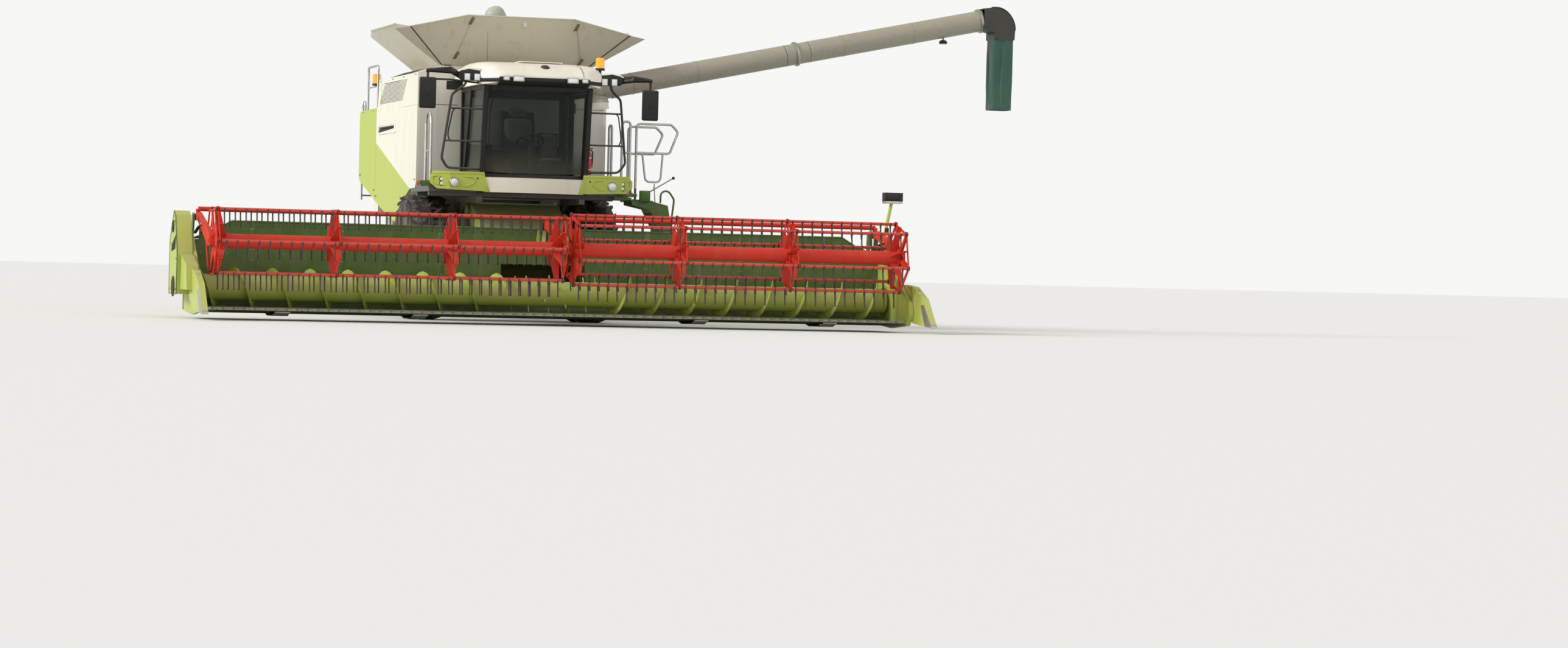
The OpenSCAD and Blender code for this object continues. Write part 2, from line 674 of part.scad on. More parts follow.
module cab_interior() {
    z = floor_z + 50;
    color([0.12, 0.12, 0.12]) place() union() {
        // seat
        box(-180, 180, -1180, -780, z, z + 330);
        side_prism([[-1300, z + 330], [-1310, z + 400], [-1280, z + 440], [-800, z + 420],
            [-700, z + 1050], [-640, z + 1180], [-560, z + 1170], [-560, z + 900],
            [-680, z + 330]], -260, 260);
        // armrest with its screen
        box(-420, -290, -1380, -740, z + 560, z + 640);
        box(-400, -290, -860, -760, z, z + 560);
        box(-470, -440, -1580, -1330, z + 640, z + 860);
        bar([-400, -1360, z + 600], [-452, -1440, z + 700], 40);
        // steering column and wheel
        box(-70, 70, -1770, -1640, z, z + 30);
        bar([0, -1698, z + 12], [0, -1560, z + 690], 90);
        translate([0, -1556, z + 700]) rotate([-28, 0, 0]) union() {
            rotate_extrude() translate([205, 0]) circle(d = 32, $fn = 24);
            for (a = [90, 210, 330]) rotate([0, 0, a]) translate([0, -16, -8]) cube([205, 32, 16]);
            translate([0, 0, -20]) cylinder(h = 40, d = 90);
        }
        // passenger seat
        box(330, 640, -1050, -700, z, z + 400);
        box(330, 640, -700, -620, z, z + 860);
    }
}

// The left door, hinged at its rear edge
module cab_door() {
    top = screen_top_z - 70;
    y0 = -1640;
    y1 = door_hinge_y + 20;
    x0 = cab_x - 50;
    drop = 0.72 * lean_y;
    color([0.10, 0.16, 0.13]) place() difference() {
        union() {
            side_prism([[y0, floor_z + 62], [y0 - drop, top], [y1, top], [y1, floor_z + 62]],
                x0, cab_x - 4);
            // handle and hinges
            box(cab_x - 5, cab_x + 30, y0 - 42, y0 - 14, floor_z + 520, floor_z + 700);
            for (z = [floor_z + 250, floor_z + 1250])
                translate([cab_x + 14, door_hinge_y, z]) cylinder(h = 110, d = 30);
            for (z = [floor_z + 250, floor_z + 1250])
                box(cab_x - 6, cab_x + 14, door_hinge_y - 60, door_hinge_y, z + 20, z + 90);
        }
        side_prism([[y0 + 60, floor_z + 130], [y0 + 60 - drop, top - 60], [y1 - 60, top - 60],
            [y1 - 60, floor_z + 130]], x0 - 1, x0 + 18);
        side_prism([[y0 + 60, floor_z + 130], [y0 + 60 - drop, top - 60], [y1 - 60, top - 60],
            [y1 - 60, floor_z + 130]], x0 + 18 + glass_t, cab_x + 1);
    }
}

// The white curved panel below the windscreen
module front_panel() {
    color([0.86, 0.87, 0.8]) place() union() {
        front_band(0, 55, 770, floor_z - 55, 2212, 0);
    }
}

// Painted fascias at both sides of the front panel, each with a lamp pocket
module corner_panels() {
    z = floor_z;
    color([0.68, 0.74, 0.18]) place() for (s = BOTH) mirror([s < 0 ? 1 : 0, 0, 0])
        difference() {
            intersection() {
                front_prism([[770, z - 45], [1480, z - 20], [1590, z + 70],
                    [1590, z + 170], [1540, z + 225], [770, z + 205]], -2200, -1690);
                linear_extrude(4000) polygon([[770, -1885], [1300, -1845], [1590, -1730],
                    [1590, -1690], [770, -1690]]);
            }
            // open at the back
            translate([0, 0, z - 25]) linear_extrude(210) polygon([[776, -1862], [860, -1860],
                [1290, -1811], [1560, -1704], [1560, -1600], [776, -1600]]);
            // room for the cab's front post, floor and sill
            translate([0, 0, z - 60]) linear_extrude(330)
                polygon([[769, -1864], [851, -1864], [851, -1600], [769, -1600]]);
            translate([1240, -1900, z + 85]) rotate([-90, 0, 0]) cylinder(h = 110, d = 142);
        }
}

// Walkways beside the cab with their brackets
module platform() {
    color([0.2, 0.21, 0.2]) place() union() {
        for (s = BOTH) mirror([s < 0 ? 1 : 0, 0, 0]) {
            box(cab_x + 0.5, 1590, -1690, body_front_y, floor_z - 60, floor_z - 10);
            box(cab_x + 4, 1590, -1690, -1684, floor_z - 10, floor_z + 60);
        }
        box(-1590, -1580, -1640, -700, floor_z - 10, floor_z + 40);
        // lugs that the ladder's post turns in
        difference() {
            union() {
                for (z = [-78, -40]) box(1560, 1660, -985, -905, floor_z + z, floor_z + z + 24);
            }
            translate([1634, -945, floor_z - 200]) cylinder(h = 400, r = 25 + pin_gap);
        }
        // bearers under the cab and the walkways
        for (y = [-1500, -620]) box(-1560, 1560, y - 40, y + 40, floor_z - 120, floor_z - 60);
        for (s = BOTH) box(s * 805 - 45, s * 805 + 45, -1680, -140, floor_z - 200, floor_z - 120);
        for (s = BOTH) side_prism([[-700, floor_z - 200], [-140, floor_z - 440],
            [-140, floor_z - 200]], s * 800 - 20, s * 800 + 20);
    }
}

// Handrails round the walkways and at the rear ladder
module handrails() {
    d = rail_d;
    zf = floor_z - 10;
    zt = floor_z + 1080;
    x = 1560;
    color([0.62, 0.63, 0.63]) place() union() {
        // bowed rails from the cab's corners up to the lamp housings, with their bars
        for (s = BOTH) mirror([s < 0 ? 1 : 0, 0, 0]) {
            pipe([[850.3, -1790, 2330], [1340, -1790, 2340], [1440, -1830, 2480],
                [1320, -1930, 3450], [1130, -2040, 3608], [1130, -2040, 3666.6]], d, 90);
            for (q = [[-1950, 3240, 1352, -1906], [-1890, 2750, 1406, -1860]])
                bar([851.6, q[0], q[1]], [q[2], q[3], q[1]], d - 8);
        }
        // silver rails of the walkways
        pipe([[-x, -1600, zf], [-x, -1600, zt + 70], [-x, -1220, zt + 70], [-x, -1220, zf]],
            d, 170);
        bar([-x, -1600, floor_z + 560], [-x, -1220, floor_z + 560], d - 8);
        pipe([[x, -520, zf], [x, -520, zt], [x, -340, zt], [x, -340, zf]], d);
        pipe([[1430, -1650, zf], [1430, -1650, zt + 20], [x, -1650, zt + 20], [x, -1650, zf]], d, 50);
        bar([1430, -1650, floor_z + 620], [x, -1650, floor_z + 620], d - 8);
        // rear ladder and the deck's rail
        for (px = [-1170, -1450]) {
            pipe([[px, 4570, 1920], [px, 4570, 3480], [px, 4470, 3560], [px, 4380, 3560],
                [px, 4380, 3338]], d);
            for (z = [2400, 3200]) box(px - 15, px + 15, hood_rear_y + 40, 4570, z, z + 30);
        }
        for (i = [0 : 4]) box(-1450, -1170, 4557, 4583, 1980 + 290 * i, 2008 + 290 * i);
        pipe([[-1440, 4200, 3361.8], [-1440, 4200, 4120], [-1440, 3350, 4120],
            [-1440, 3350, 3378]], d);
        bar([-1440, 4200, 3780], [-1440, 3350, 3780], d - 8);
    }
}

// The boarding ladder with its landing and hand loops, which swings round its front post
module ladder() {
    d = rail_d;
    y0 = -1500;
    y1 = -1000;
    color([0.45, 0.46, 0.45]) place() union() {
        for (y = [y0, y1 - 14]) front_prism([[1650, floor_z - 90], [1920, floor_z - 105],
            [2228, floor_z - 175], [2296, 1514], [2330, 560], [2230, 560], [2110, 1400],
            [2090, 1509], [1935, floor_z - 240], [1650, floor_z - 180]], y, y + 14);
        box(1650, 1990, y0, y1, floor_z - 130, floor_z - 106);
        for (i = [0 : 4]) box(i == 0 ? 2000 : 2100, i == 0 ? 2250 : 2300, y0, y1,
            floor_z - 330 - 270 * i, floor_z - 300 - 270 * i);
        // hand loops, the front one with a hanging loop
        for (q = [[y0 + 7, 2370, 3120], [y1 - 7, 2260, 3090]])
            pipe([[1700, q[0], floor_z - 110], [1700, q[0], q[2]], [q[1] - 110, q[0], q[2]],
                [q[1], q[0], q[2] - 110], [q[1] - 130, q[0], 2670], [1700, q[0], 2670]], d);
        pipe([[1800, y0 + 7, 2670], [1860, y0 + 7, 2225], [2100, y0 + 7, 2225],
            [2130, y0 + 7, 2670]], d - 6, 70);
        pipe([[2110, y0 + 7, 1900], [2110, y0 + 7, 2090], [2240, y0 + 7, 2090],
            [2330, y0 + 7, 1960], [2285, y0 + 7, 1560]], d - 8, 80);
        // hinge post on the walkway's edge
        translate([1634, -945, floor_z - 130]) cylinder(h = 200, d = 50);
        box(1630, 1712, -1014, -905, floor_z - 130, floor_z - 80);
        box(1630, 1712, -1014, -905, floor_z - 14, floor_z + 40);
    }
}

// Corner points of a rectangle with rounded corners
function round_rect(w, h, r) = [for (q = [[1, 1, 0], [-1, 1, 90], [-1, -1, 180], [1, -1, 270]],
    a = [0 : 22.5 : 90]) [q[0] * (w / 2 - r) + r * cos(a + q[2]),
        q[1] * (h / 2 - r) + r * sin(a + q[2])]];

module mirror_head(p, h) {
    translate(p) rotate([90, 0, 0]) union() {
        translate([0, 0, -20]) linear_extrude(40) polygon(round_rect(mirror_w, h, 50));
        translate([0, 0, -45]) linear_extrude(26) polygon(round_rect(mirror_w - 50, h - 50, 40));
    }
}

module mirrors() {
    h = mirror_h;
    color([0.09, 0.09, 0.09]) place() union() {
        pipe([[-1190.3, -2110, 3745], [-1250, -2110, 3745], [-1420, -2290, 3820],
            [-1780, -2330, 3780], [-1780, -2330, 3640]], 34);
        pipe([[-936, -2060, 3635], [-985, -2060, 3632], [-1430, -2300, 3650],
            [-1780, -2326, 3650]], 28);
        mirror_head([-1780, -2330, 3440], h);
        pipe([[1190.3, -2110, 3745], [1250, -2110, 3745], [1400, -2290, 3790],
            [1680, -2330, 3750], [1680, -2330, 3560]], 34);
        mirror_head([1680, -2330, 3370], h);
    }
}

// Lamp bar, side lamp pods, roof dome, beacons and the pocket lamps
module lamps() {
    zr = screen_top_z;
    color([0.12, 0.12, 0.12]) place() union() {
        box(-700, 700, -2462, -2420, zr + 62, zr + 108);
        for (q = [[-610, 90, 56], [-420, 165, 78], [420, 165, 78], [610, 90, 56]])
            box(q[0] - q[1] / 2, q[0] + q[1] / 2, -2500, -2461,
                zr + 85 - q[2] / 2, zr + 85 + q[2] / 2);
        for (s = BOTH) mirror([s < 0 ? 1 : 0, 0, 0]) {
            front_prism([[935, zr + 50], [1190, zr + 60], [1190, zr + 180], [1120, zr + 220],
                [950, zr + 200], [935, zr + 108]], -2150, -1960);
            for (x = [1000, 1120]) translate([x, -2150, zr + 120])
                rotate([90, 0, 0]) cylinder(h = 24, d = 96);
            translate([1240, -1800, floor_z + 85]) rotate([90, 0, 0]) cylinder(h = 62, d = 141.4);
        }
        translate([120, -1500, zr + roof_h - 6.6]) cylinder(h = 60, d = 200);
        translate([950, -2050, zr + 199.8]) cylinder(h = 90, d = 44);
        translate([950, -2050, zr + 280]) cylinder(h = 170, d = 130);
        translate([-1440, 3480, 3794]) cylinder(h = 180, d = 130);
    }
}

// ---- unloading auger
module at_turret() {
    translate(turret) rotate([0, turret_tilt, turret_turn]) children();
}

// A closed hood that turns the flow down, as [x, z] points about the tube's end
function hood_points(grow) = let (r = 360 + grow)
    concat([[-120, -0.5 * auger_d - grow]],
        [[-120, 0.5 * auger_d + grow]],
        [for (a = [80 : -10 : -10]) [r * cos(a) + 60, r * sin(a) - 0.5 * auger_d + 20]],
        [[r + 50, -330], [60 - grow, -330], [60 - grow, -0.5 * auger_d - 40]]);

module unloading_auger() {
    color([0.80, 0.81, 0.74]) place() union() {
        difference() {
            union() {
                at_turret() translate([0, 0, seat_gap]) cylinder(h = 60, r = 215);
                at_turret() translate([0, 0, 50]) cylinder(h = tube_z0 - 60, r = 172);
                translate([turret[0], 0, turret[2] + tube_z0]) sphere(r = 186);
                translate([turret[0], 0, turret[2] + tube_z0]) rotate([0, 90 - auger_rise, 0])
                    cylinder(h = tube_l, d = auger_d);
                for (f = [0.50, 0.975]) translate([turret[0], 0, turret[2] + tube_z0])
                    rotate([0, 90 - auger_rise, 0]) translate([0, 0, f * tube_l])
                        cylinder(h = 36, d = auger_d + 40);
                // hood at the outer end
                translate(tube_end) front_prism(hood_points(0), -200, 200);
            }
            // open mouth of the hood
            translate(tube_end) front_prism([for (p = hood_points(-14)) [p[0], p[1] - 1]],
                -186, 186);
        }
        // lamp under the outer end
        translate([tube_end[0] - 760, 0, tube_end[2] - 430]) cylinder(h = 40, d = 120);
        bar([tube_end[0] - 760, 0, tube_end[2] - 395], [tube_end[0] - 760, 0, tube_end[2] - 300], 30);
    }
}

// The canvas chute below the hood
module chute() {
    color([0.10, 0.36, 0.31]) place() difference() {
        translate([tube_end[0] + 40, -206, tube_end[2] - 240 - chute_l])
            cube([380, 412, chute_l]);
        translate([tube_end[0] + 46, -200.3, tube_end[2] - 250 - chute_l])
            cube([367.8, 400.6, chute_l + 20]);
    }
}

// ---- feeder house and header
module feeder_house() {
    y = feeder_pivot[0];
    z = feeder_pivot[1];
    color([0.25, 0.27, 0.25]) place() difference() {
        union() {
            side_prism([[-2460, 960], [-2460, 290], [-1500, 700], [-470, 1180], [-360, 1500],
                [-400, 1830], [-620, 1822]], -feeder_x, feeder_x);
            x_rod(-feeder_x - 68, feeder_x + 68, y, z, 200);
            // drive sheave on the left
            x_rod(feeder_x, feeder_x + 55, -900, 1440, 520);
            box(-feeder_x - 30, -feeder_x, -2200, -900, 760, 1060);
            box(-760, 760, -2460, -2400, 210, 1020);
            for (s = BOTH, e = [-48, 48])
                side_prism([[-1750, 610], [lift_eye[0] - 55, lift_eye[1] - 50],
                    [lift_eye[0] + 55, lift_eye[1] - 50], [-1350, 780]],
                    s * lift_x + e - 14, s * lift_x + e + 14);
            for (s = BOTH) x_rod(s * lift_x - 60, s * lift_x + 60, lift_eye[0], lift_eye[1], 44);
        }
        side_prism([[-2461, 900], [-2461, 340], [-1500, 745], [-520, 1220], [-420, 1500],
            [-460, 1780], [-620, 1790]], -feeder_x + 25, feeder_x - 25);
    }
}

// A frame along the lift cylinder: x along it from the chassis eye to the feeder eye
module along_lift(s) {
    translate([s * lift_x, lift_foot[0], lift_foot[1]]) rotate([-lift_ang, 0, 0])
        rotate([0, 0, -90]) rotate([0, 90, 0]) rotate([0, 0, 90]) children();
}

module lift_barrels() {
    color([0.13, 0.13, 0.13]) place() for (s = BOTH) difference() {
        union() {
            along_lift(s) translate([0, 0, 85]) cylinder(h = 775, d = 110);
            along_lift(s) cylinder(h = 90, d = 58);
            x_rod(s * lift_x - 30, s * lift_x + 30, lift_foot[0], lift_foot[1], 100);
        }
        x_rod(s * lift_x - 40, s * lift_x + 40, lift_foot[0], lift_foot[1], 50 + 2 * pin_gap);
        along_lift(s) translate([0, 0, 100]) cylinder(h = 800, d = 64 + 2 * pin_gap);
    }
}

module lift_rods() {
    color([0.7, 0.71, 0.72]) place() for (s = BOTH) difference() {
        union() {
            along_lift(s) translate([0, 0, 120]) cylinder(h = lift_len - 150, d = 64);
            x_rod(s * lift_x - 30, s * lift_x + 30, lift_eye[0], lift_eye[1], 110);
        }
        x_rod(s * lift_x - 40, s * lift_x + 40, lift_eye[0], lift_eye[1], 70);
    }
}

// The header's trough, back wall, beams and the reel arms' carriers
module header_frame() {
    iy = intake_axis[0];
    iz = intake_axis[1];
    ri = intake_d / 2 + 30;
    floor_y0 = knife_y + 60;
    xo = half_header - 95;
    color([0.10, 0.25, 0.16]) place() difference() {
        union() {
            difference() {
                side_prism([[floor_y0, knife_z - 20], [iy - 300, 95], [iy + 200, 95],
                    [wall_y, 260], [wall_y, 900], [wall_y - 30, 900], [wall_y - 30, iz],
                    [iy, iz], [iy - 200, 160], [floor_y0, knife_z]],
                    -half_header, half_header);
                x_rod(-half_header - 1, half_header + 1, iy, iz, 2 * ri);
            }
            // sheet of the back wall with its sloped ends
            front_prism([[-half_header, 880], [half_header, 880], [half_header, 1150],
                [half_header - 365, 1290], [half_header - 600, wall_top_z],
                [600 - half_header, wall_top_z], [365 - half_header, 1290],
                [-half_header, 1150]], wall_y - 30, wall_y - 10);
            // beams behind the wall
            box(-half_header, half_header, wall_y, wall_y + 140, 960, 1120);
            box(-half_header, half_header, wall_y, wall_y + 140, 262, 372);
            for (i = [-8 : 8]) if (abs(i) > 1)
                translate([i * (half_header - 360) / 8, 0, 0])
                    box(-20, 20, wall_y, wall_y + 60, 372, abs(i) == 8 ? 1280 : 1330);
            // carriers of the reel arms
            for (x = [-xo, 0, xo], e = [-58, 58])
                side_prism([[wall_y - 30, 1180], [wall_y + 100, 1100], [wall_y + 60, 1500],
                    [arm_pivot[0] + 20, 1540], [arm_pivot[0] - 50, 1520],
                    [arm_pivot[0] - 50, 1440]], x + e - 12, x + e + 12);
        }
        // the throat to the feeder house
        box(-660, 660, wall_y - 100, wall_y + 200, 300, 900);
        for (x = [-xo, 0, xo]) box(x - 46, x + 46, wall_y - 80, wall_y + 100, 1150, 1600);
        for (x = [-xo, 0, xo]) x_rod(x - 80, x + 80, arm_pivot[0], arm_pivot[1], 50);
    }
    color([0.10, 0.25, 0.16]) place() for (x = [-xo, 0, xo])
        x_rod(x - 72, x + 72, arm_pivot[0], arm_pivot[1], 50);
}

module header_ends() {
    h = half_header + 0.2;
    color([0.66, 0.72, 0.2]) place() union() {
        for (s = BOTH) mirror([s < 0 ? 1 : 0, 0, 0]) {
            side_prism([[-4030, 110], [-4200, 260], [-4150, 460], [-3500, 820], [-2900, 1280],
                [wall_y + 120, 1290], [wall_y + 120, 110], [-3300, 60]], h, h + end_wall_t);
            // pointed divider
            side_prism([[-4150, 150], [-4980, 90], [-5000, 110], [-4600, 520], [-4150, 700],
                [-3700, 730], [-3700, 300]], h + end_wall_t + 0.2, h + end_wall_t + 90);
        }
        // drive housing and cover on the right end
        side_prism([[-3300, 350], [-3340, 920], [-3080, 1500], [-2930, 1560], [-2700, 1300],
            [-2550, 1120], [-2550, 350]], -h - end_wall_t - drive_w, -h - end_wall_t - 0.2);
        side_prism([[-4000, 420], [-3900, 780], [-3360, 930], [-3320, 420]],
            -h - end_wall_t - 170, -h - end_wall_t - 0.2);
        // post with a sensor head on the left end
        bar([h + end_wall_t / 2, -2700, 1280], [h + 150, -2760, 1980], 50);
        box(h + 30, h + 300, -2850, -2680, 1980, 2140);
    }
}

// Knife back, fingers and the knife's sections
module knife_bar() {
    n = floor((header_w - 120) / finger_pitch / 2);
    color([0.45, 0.46, 0.46]) place() union() {
        box(-half_header + 10, half_header - 10, knife_y - 10, knife_y + 59.7,
            knife_z - 18, knife_z);
        for (i = [-n : n]) translate([i * finger_pitch, knife_y, knife_z - 6])
            linear_extrude(16) polygon([[-22, 0], [-7, -110], [0, -135], [7, -110], [22, 0]]);
        for (i = [-n : n - 1]) translate([(i + 0.5) * finger_pitch, knife_y, knife_z + 0.2])
            linear_extrude(6) polygon([[-38, 0], [-38, -12], [-14, -62], [14, -62], [38, -12],
                [38, 0]]);
        box(-half_header + 10, half_header - 10, knife_y - 1, knife_y + 30,
            knife_z - 1, knife_z + 14);
    }
}

// A helical flight, swept with a flat section of four points
module flight(x0, x1, hand) {
    steps = 16;
    n = floor((x1 - x0) / intake_pitch * steps);
    ri = intake_tube_d / 2 - 6;
    ro = intake_d / 2;
    section = hand > 0 ? [[-4, ri], [4, ri], [4, ro], [-4, ro]]
        : [[-4, ri], [-4, ro], [4, ro], [4, ri]];
    polyhedron(
        points = [for (i = [0 : n], c = section)
            let (a = hand * 360 * i / steps)
            [x0 + i * intake_pitch / steps + c[0], -c[1] * sin(a), c[1] * cos(a)]],
        faces = ring_faces(n + 1, 4));
}

module header_auger() {
    iy = intake_axis[0];
    iz = intake_axis[1];
    xe = half_header - 25;
    color([0.66, 0.72, 0.2]) place() union() {
        x_rod(-xe, xe, iy, iz, intake_tube_d);
        x_rod(-half_header + 0.1, half_header - 0.1, iy, iz, 120);
        translate([0, iy, iz]) flight(-xe + 8, -700, 1);
        translate([0, iy, iz]) flight(700, xe - 8, -1);
        // retracting fingers in the middle
        for (i = [-5 : 5]) translate([i * 110, iy, iz]) rotate([i * 67, 0, 0])
            cylinder(h = intake_d - 30, d = 18, center = true);
    }
}

// Three arms that carry the reel, with its bearings and drive
module reel_arms() {
    dy = arm_pivot[0] - reel_axis[0];
    xo = half_header - 95;
    color([0.62, 0.09, 0.07]) place() difference() {
        union() {
            for (x = [-xo, 0, xo]) {
                side_prism([[arm_pivot[0] + 60, arm_pivot[1] - 50],
                    [arm_pivot[0] + 60, arm_pivot[1] + 50], [arm_pivot[0] - 200, arm_pivot[1] + 70],
                    [reel_axis[0] + 60, reel_axis[1] + 150], [reel_axis[0] - 90, reel_axis[1] + 80],
                    [reel_axis[0] - 110, reel_axis[1] - 60], [reel_axis[0] + 60, reel_axis[1] - 80],
                    [arm_pivot[0] - 200, arm_pivot[1] - 50]],
                    x - arm_t / 2, x + arm_t / 2);
            }
            // stub shafts that the reel halves turn on
            x_rod(-180, 180, reel_axis[0], reel_axis[1], 80);
            for (s = BOTH) x_rod(s > 0 ? xo - 150 : -xo - 40, s > 0 ? xo + 40 : -xo + 150,
                reel_axis[0], reel_axis[1], 80);
            // cross tube that ties the arms
            x_rod(-xo, xo, arm_pivot[0] - 60, arm_pivot[1] + 120, 70);
            for (x = [-xo, 0, xo]) box(x - 30, x + 30, arm_pivot[0] - 95, arm_pivot[0] - 25,
                arm_pivot[1] + 30, arm_pivot[1] + 120);
        }
        for (x = [-xo, 0, xo]) x_rod(x - 60, x + 60, arm_pivot[0], arm_pivot[1],
            50 + 2 * pin_gap);
    }
}

// A reel half is drawn toward +X from its inner spider to its outer one
module at_reel(side) {
    translate([0, reel_axis[0], reel_axis[1]]) mirror([side < 0 ? 1 : 0, 0, 0]) children();
}

// A spider's flat outline: hub, six arms and the hexagon that ties them
module spider_outline(phase) {
    difference() {
        union() {
            circle(d = reel_tube_d + 110);
            for (k = [0 : 5]) rotate([0, 0, phase + 60 * k]) {
                translate([0, -34]) square([reel_r, 68]);
                translate([reel_r, 0]) circle(r = 42);
            }
            rotate([0, 0, phase]) difference() {
                circle(r = reel_r + 18, $fn = 6);
                circle(r = reel_r - 24, $fn = 6);
            }
        }
        for (k = [0 : 5]) rotate([0, 0, phase + 60 * k]) translate([reel_r, 0])
            circle(d = tine_bar_d + 0.2);
        circle(d = reel_tube_d);
    }
}

// A web's outline as [along the reel, -radius]: one-sided at the reel's ends
function web_points(i) = let (a = i == 0 ? 4 : i == 3 ? -150 : -80,
    b = i == 0 ? 158 : i == 3 ? 4 : 88, m = i == 0 ? 4 : i == 3 ? -52 : -26,
    n = i == 0 ? 60 : i == 3 ? 4 : 34)
    [[a, -reel_tube_d / 2 + 2], [b, -reel_tube_d / 2 + 2], [n, -reel_r + 34],
     [m, -reel_r + 34]];

module reel_half(side, phase) {
    color([0.66, 0.09, 0.07]) place() at_reel(side) {
        difference() {
            x_rod(45, half_header - 135, 0, 0, reel_tube_d);
            x_rod(0, 200, 0, 0, 80 + 2 * pin_gap);
            x_rod(half_header - 260, half_header, 0, 0, 80 + 2 * pin_gap);
        }
        for (x = spider_x) translate([x, 0, 0]) rotate([90, 0, 90])
            linear_extrude(8) spider_outline(90 - phase);
        // tapered webs that stiffen each spider's arms
        for (i = [0 : 3], k = [0 : 5]) rotate([90 - phase + 60 * k, 0, 0])
            translate([spider_x[i], 0, 0]) rotate([-90, 0, 0]) translate([0, 0, -4])
                linear_extrude(8) polygon(web_points(i));
    }
}

// Bars that pass through the spiders, with clips and hanging tines
module reel_tines(side, phase) {
    bay = (spider_x[1] - spider_x[0]) / (tines_per_bay + 0.2);
    bars = [for (k = [0 : 5]) [reel_r * sin(phase + 60 * k), reel_r * cos(phase + 60 * k)]];
    color([0.08, 0.08, 0.08]) place() at_reel(side) union() {
        for (b = bars) {
            x_rod(spider_x[0] - 12, spider_x[3] + 22, b[0], b[1], tine_bar_d);
            for (j = [0 : 2], i = [0 : tines_per_bay - 1])
                translate([spider_x[j] + (spider_x[j + 1] - spider_x[j]) * (i + 0.55)
                    / (tines_per_bay + 0.1), b[0], b[1]])
                    side_prism([[-32, 12], [-14, -70], [-34, -tine_len], [-20, -tine_len - 10],
                        [6, -70], [32, 12]], -9, 9);
        }
    }
}

threshing_body();
front_axle();
rear_axle();
engine_block();
grain_tank();
tank_extension();
side_panel(LEFT, ledge_z, tank_rear_y + 20);  // side_panel_left
side_panel(RIGHT, shoulder_z, deck_rear_y);  // side_panel_right
rear_hood();
straw_chopper();
cab_frame();
cab_roof();
cab_glass();
cab_interior();
cab_door();
front_panel();
corner_panels();
platform();
handrails();
ladder();
mirrors();
lamps();
unloading_auger();
chute();
feeder_house();
lift_barrels();
lift_rods();
header_frame();
header_ends();
knife_bar();
header_auger();
reel_arms();
reel_half(LEFT, left_phase);  // reel_left
reel_half(RIGHT, right_phase);  // reel_right
reel_tines(LEFT, left_phase);  // reel_tines_left
reel_tines(RIGHT, right_phase);  // reel_tines_right
front_tyre(LEFT);  // tyre_front_left
front_tyre(RIGHT);  // tyre_front_right
rear_tyre(LEFT);  // tyre_rear_left
rear_tyre(RIGHT);  // tyre_rear_right
front_rim(LEFT);  // rim_front_left
front_rim(RIGHT);  // rim_front_right
rear_rim(LEFT);  // rim_rear_left
rear_rim(RIGHT);  // rim_rear_right
knuckle(LEFT);  // knuckle_left
knuckle(RIGHT);  // knuckle_right
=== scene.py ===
"""Combine harvester with a wide grain header: finishes and fine detail on its CAD frame."""

import math

import bmesh
import bpy
from bpy.props import FloatProperty, FloatVectorProperty, PointerProperty
from bpy.types import Operator, Panel, PropertyGroup
from mathutils import Matrix, Quaternion, Vector, noise


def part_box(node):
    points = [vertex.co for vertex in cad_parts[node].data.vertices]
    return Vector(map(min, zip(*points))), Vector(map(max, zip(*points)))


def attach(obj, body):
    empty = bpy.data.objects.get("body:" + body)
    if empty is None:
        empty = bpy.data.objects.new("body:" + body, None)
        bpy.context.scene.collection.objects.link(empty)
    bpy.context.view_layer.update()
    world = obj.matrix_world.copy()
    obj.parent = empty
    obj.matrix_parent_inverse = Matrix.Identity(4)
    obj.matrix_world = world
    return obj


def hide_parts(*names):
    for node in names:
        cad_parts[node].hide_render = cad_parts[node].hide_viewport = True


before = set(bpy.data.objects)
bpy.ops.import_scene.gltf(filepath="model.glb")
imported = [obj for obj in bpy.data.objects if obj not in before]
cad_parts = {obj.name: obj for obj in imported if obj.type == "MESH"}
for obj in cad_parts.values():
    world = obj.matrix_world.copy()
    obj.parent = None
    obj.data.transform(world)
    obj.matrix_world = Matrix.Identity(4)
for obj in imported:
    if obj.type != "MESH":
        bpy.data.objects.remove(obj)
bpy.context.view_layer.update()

bl_info = {
    "name": "Combine Harvester",
    "version": (1, 0, 0),
    "blender": (4, 5, 0),
    "location": "View3D > Sidebar > Harvester",
    "description": "Dresses the harvester's frame with paint, rubber, glass, canvas and trim",
    "category": "Object",
}

BOTH = (1, -1)  # the machine's left side, +X, and its right

# the reel's axis and the circle of its tine bars, in millimetres from below the front axle
REEL_Y, REEL_Z, REEL_R = -4000, 1130, 525
BAR_REACH = 0.0249  # how far from a bar's middle the bar's paint reaches, in metres
BAR_PHASE = {"left": 12.9, "right": 30.0}  # where the first bar of each half stands, in degrees
# the unloading tube's turret and its rise, and how far out its elbow lies
TURRET_X, TURRET_Z, TUBE_OUT = 1400, 3690, 6600
TUBE_RISE = math.radians(12)
FLANGES = (0.50, 0.975)  # how far out along the tube its flanges are
# the foot of the front cover and how far its top leans forward
COVER_Y, COVER_Z, COVER_LEAN = -270, 3966, 560


def below_axle():
    """The ground point below the front axle, from the front rims' boxes."""
    (a, b), (_, d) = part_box("rim_front_right"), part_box("rim_front_left")
    return Vector(((a[0] + d[0]) / 2, (a[1] + b[1]) / 2, 0.0))


AXLE = below_axle()


def at(x, y, z):
    """A place in metres from millimetres measured from the ground below the front axle."""
    return AXLE + Vector((x, y, z)) / 1000


# Shader maths


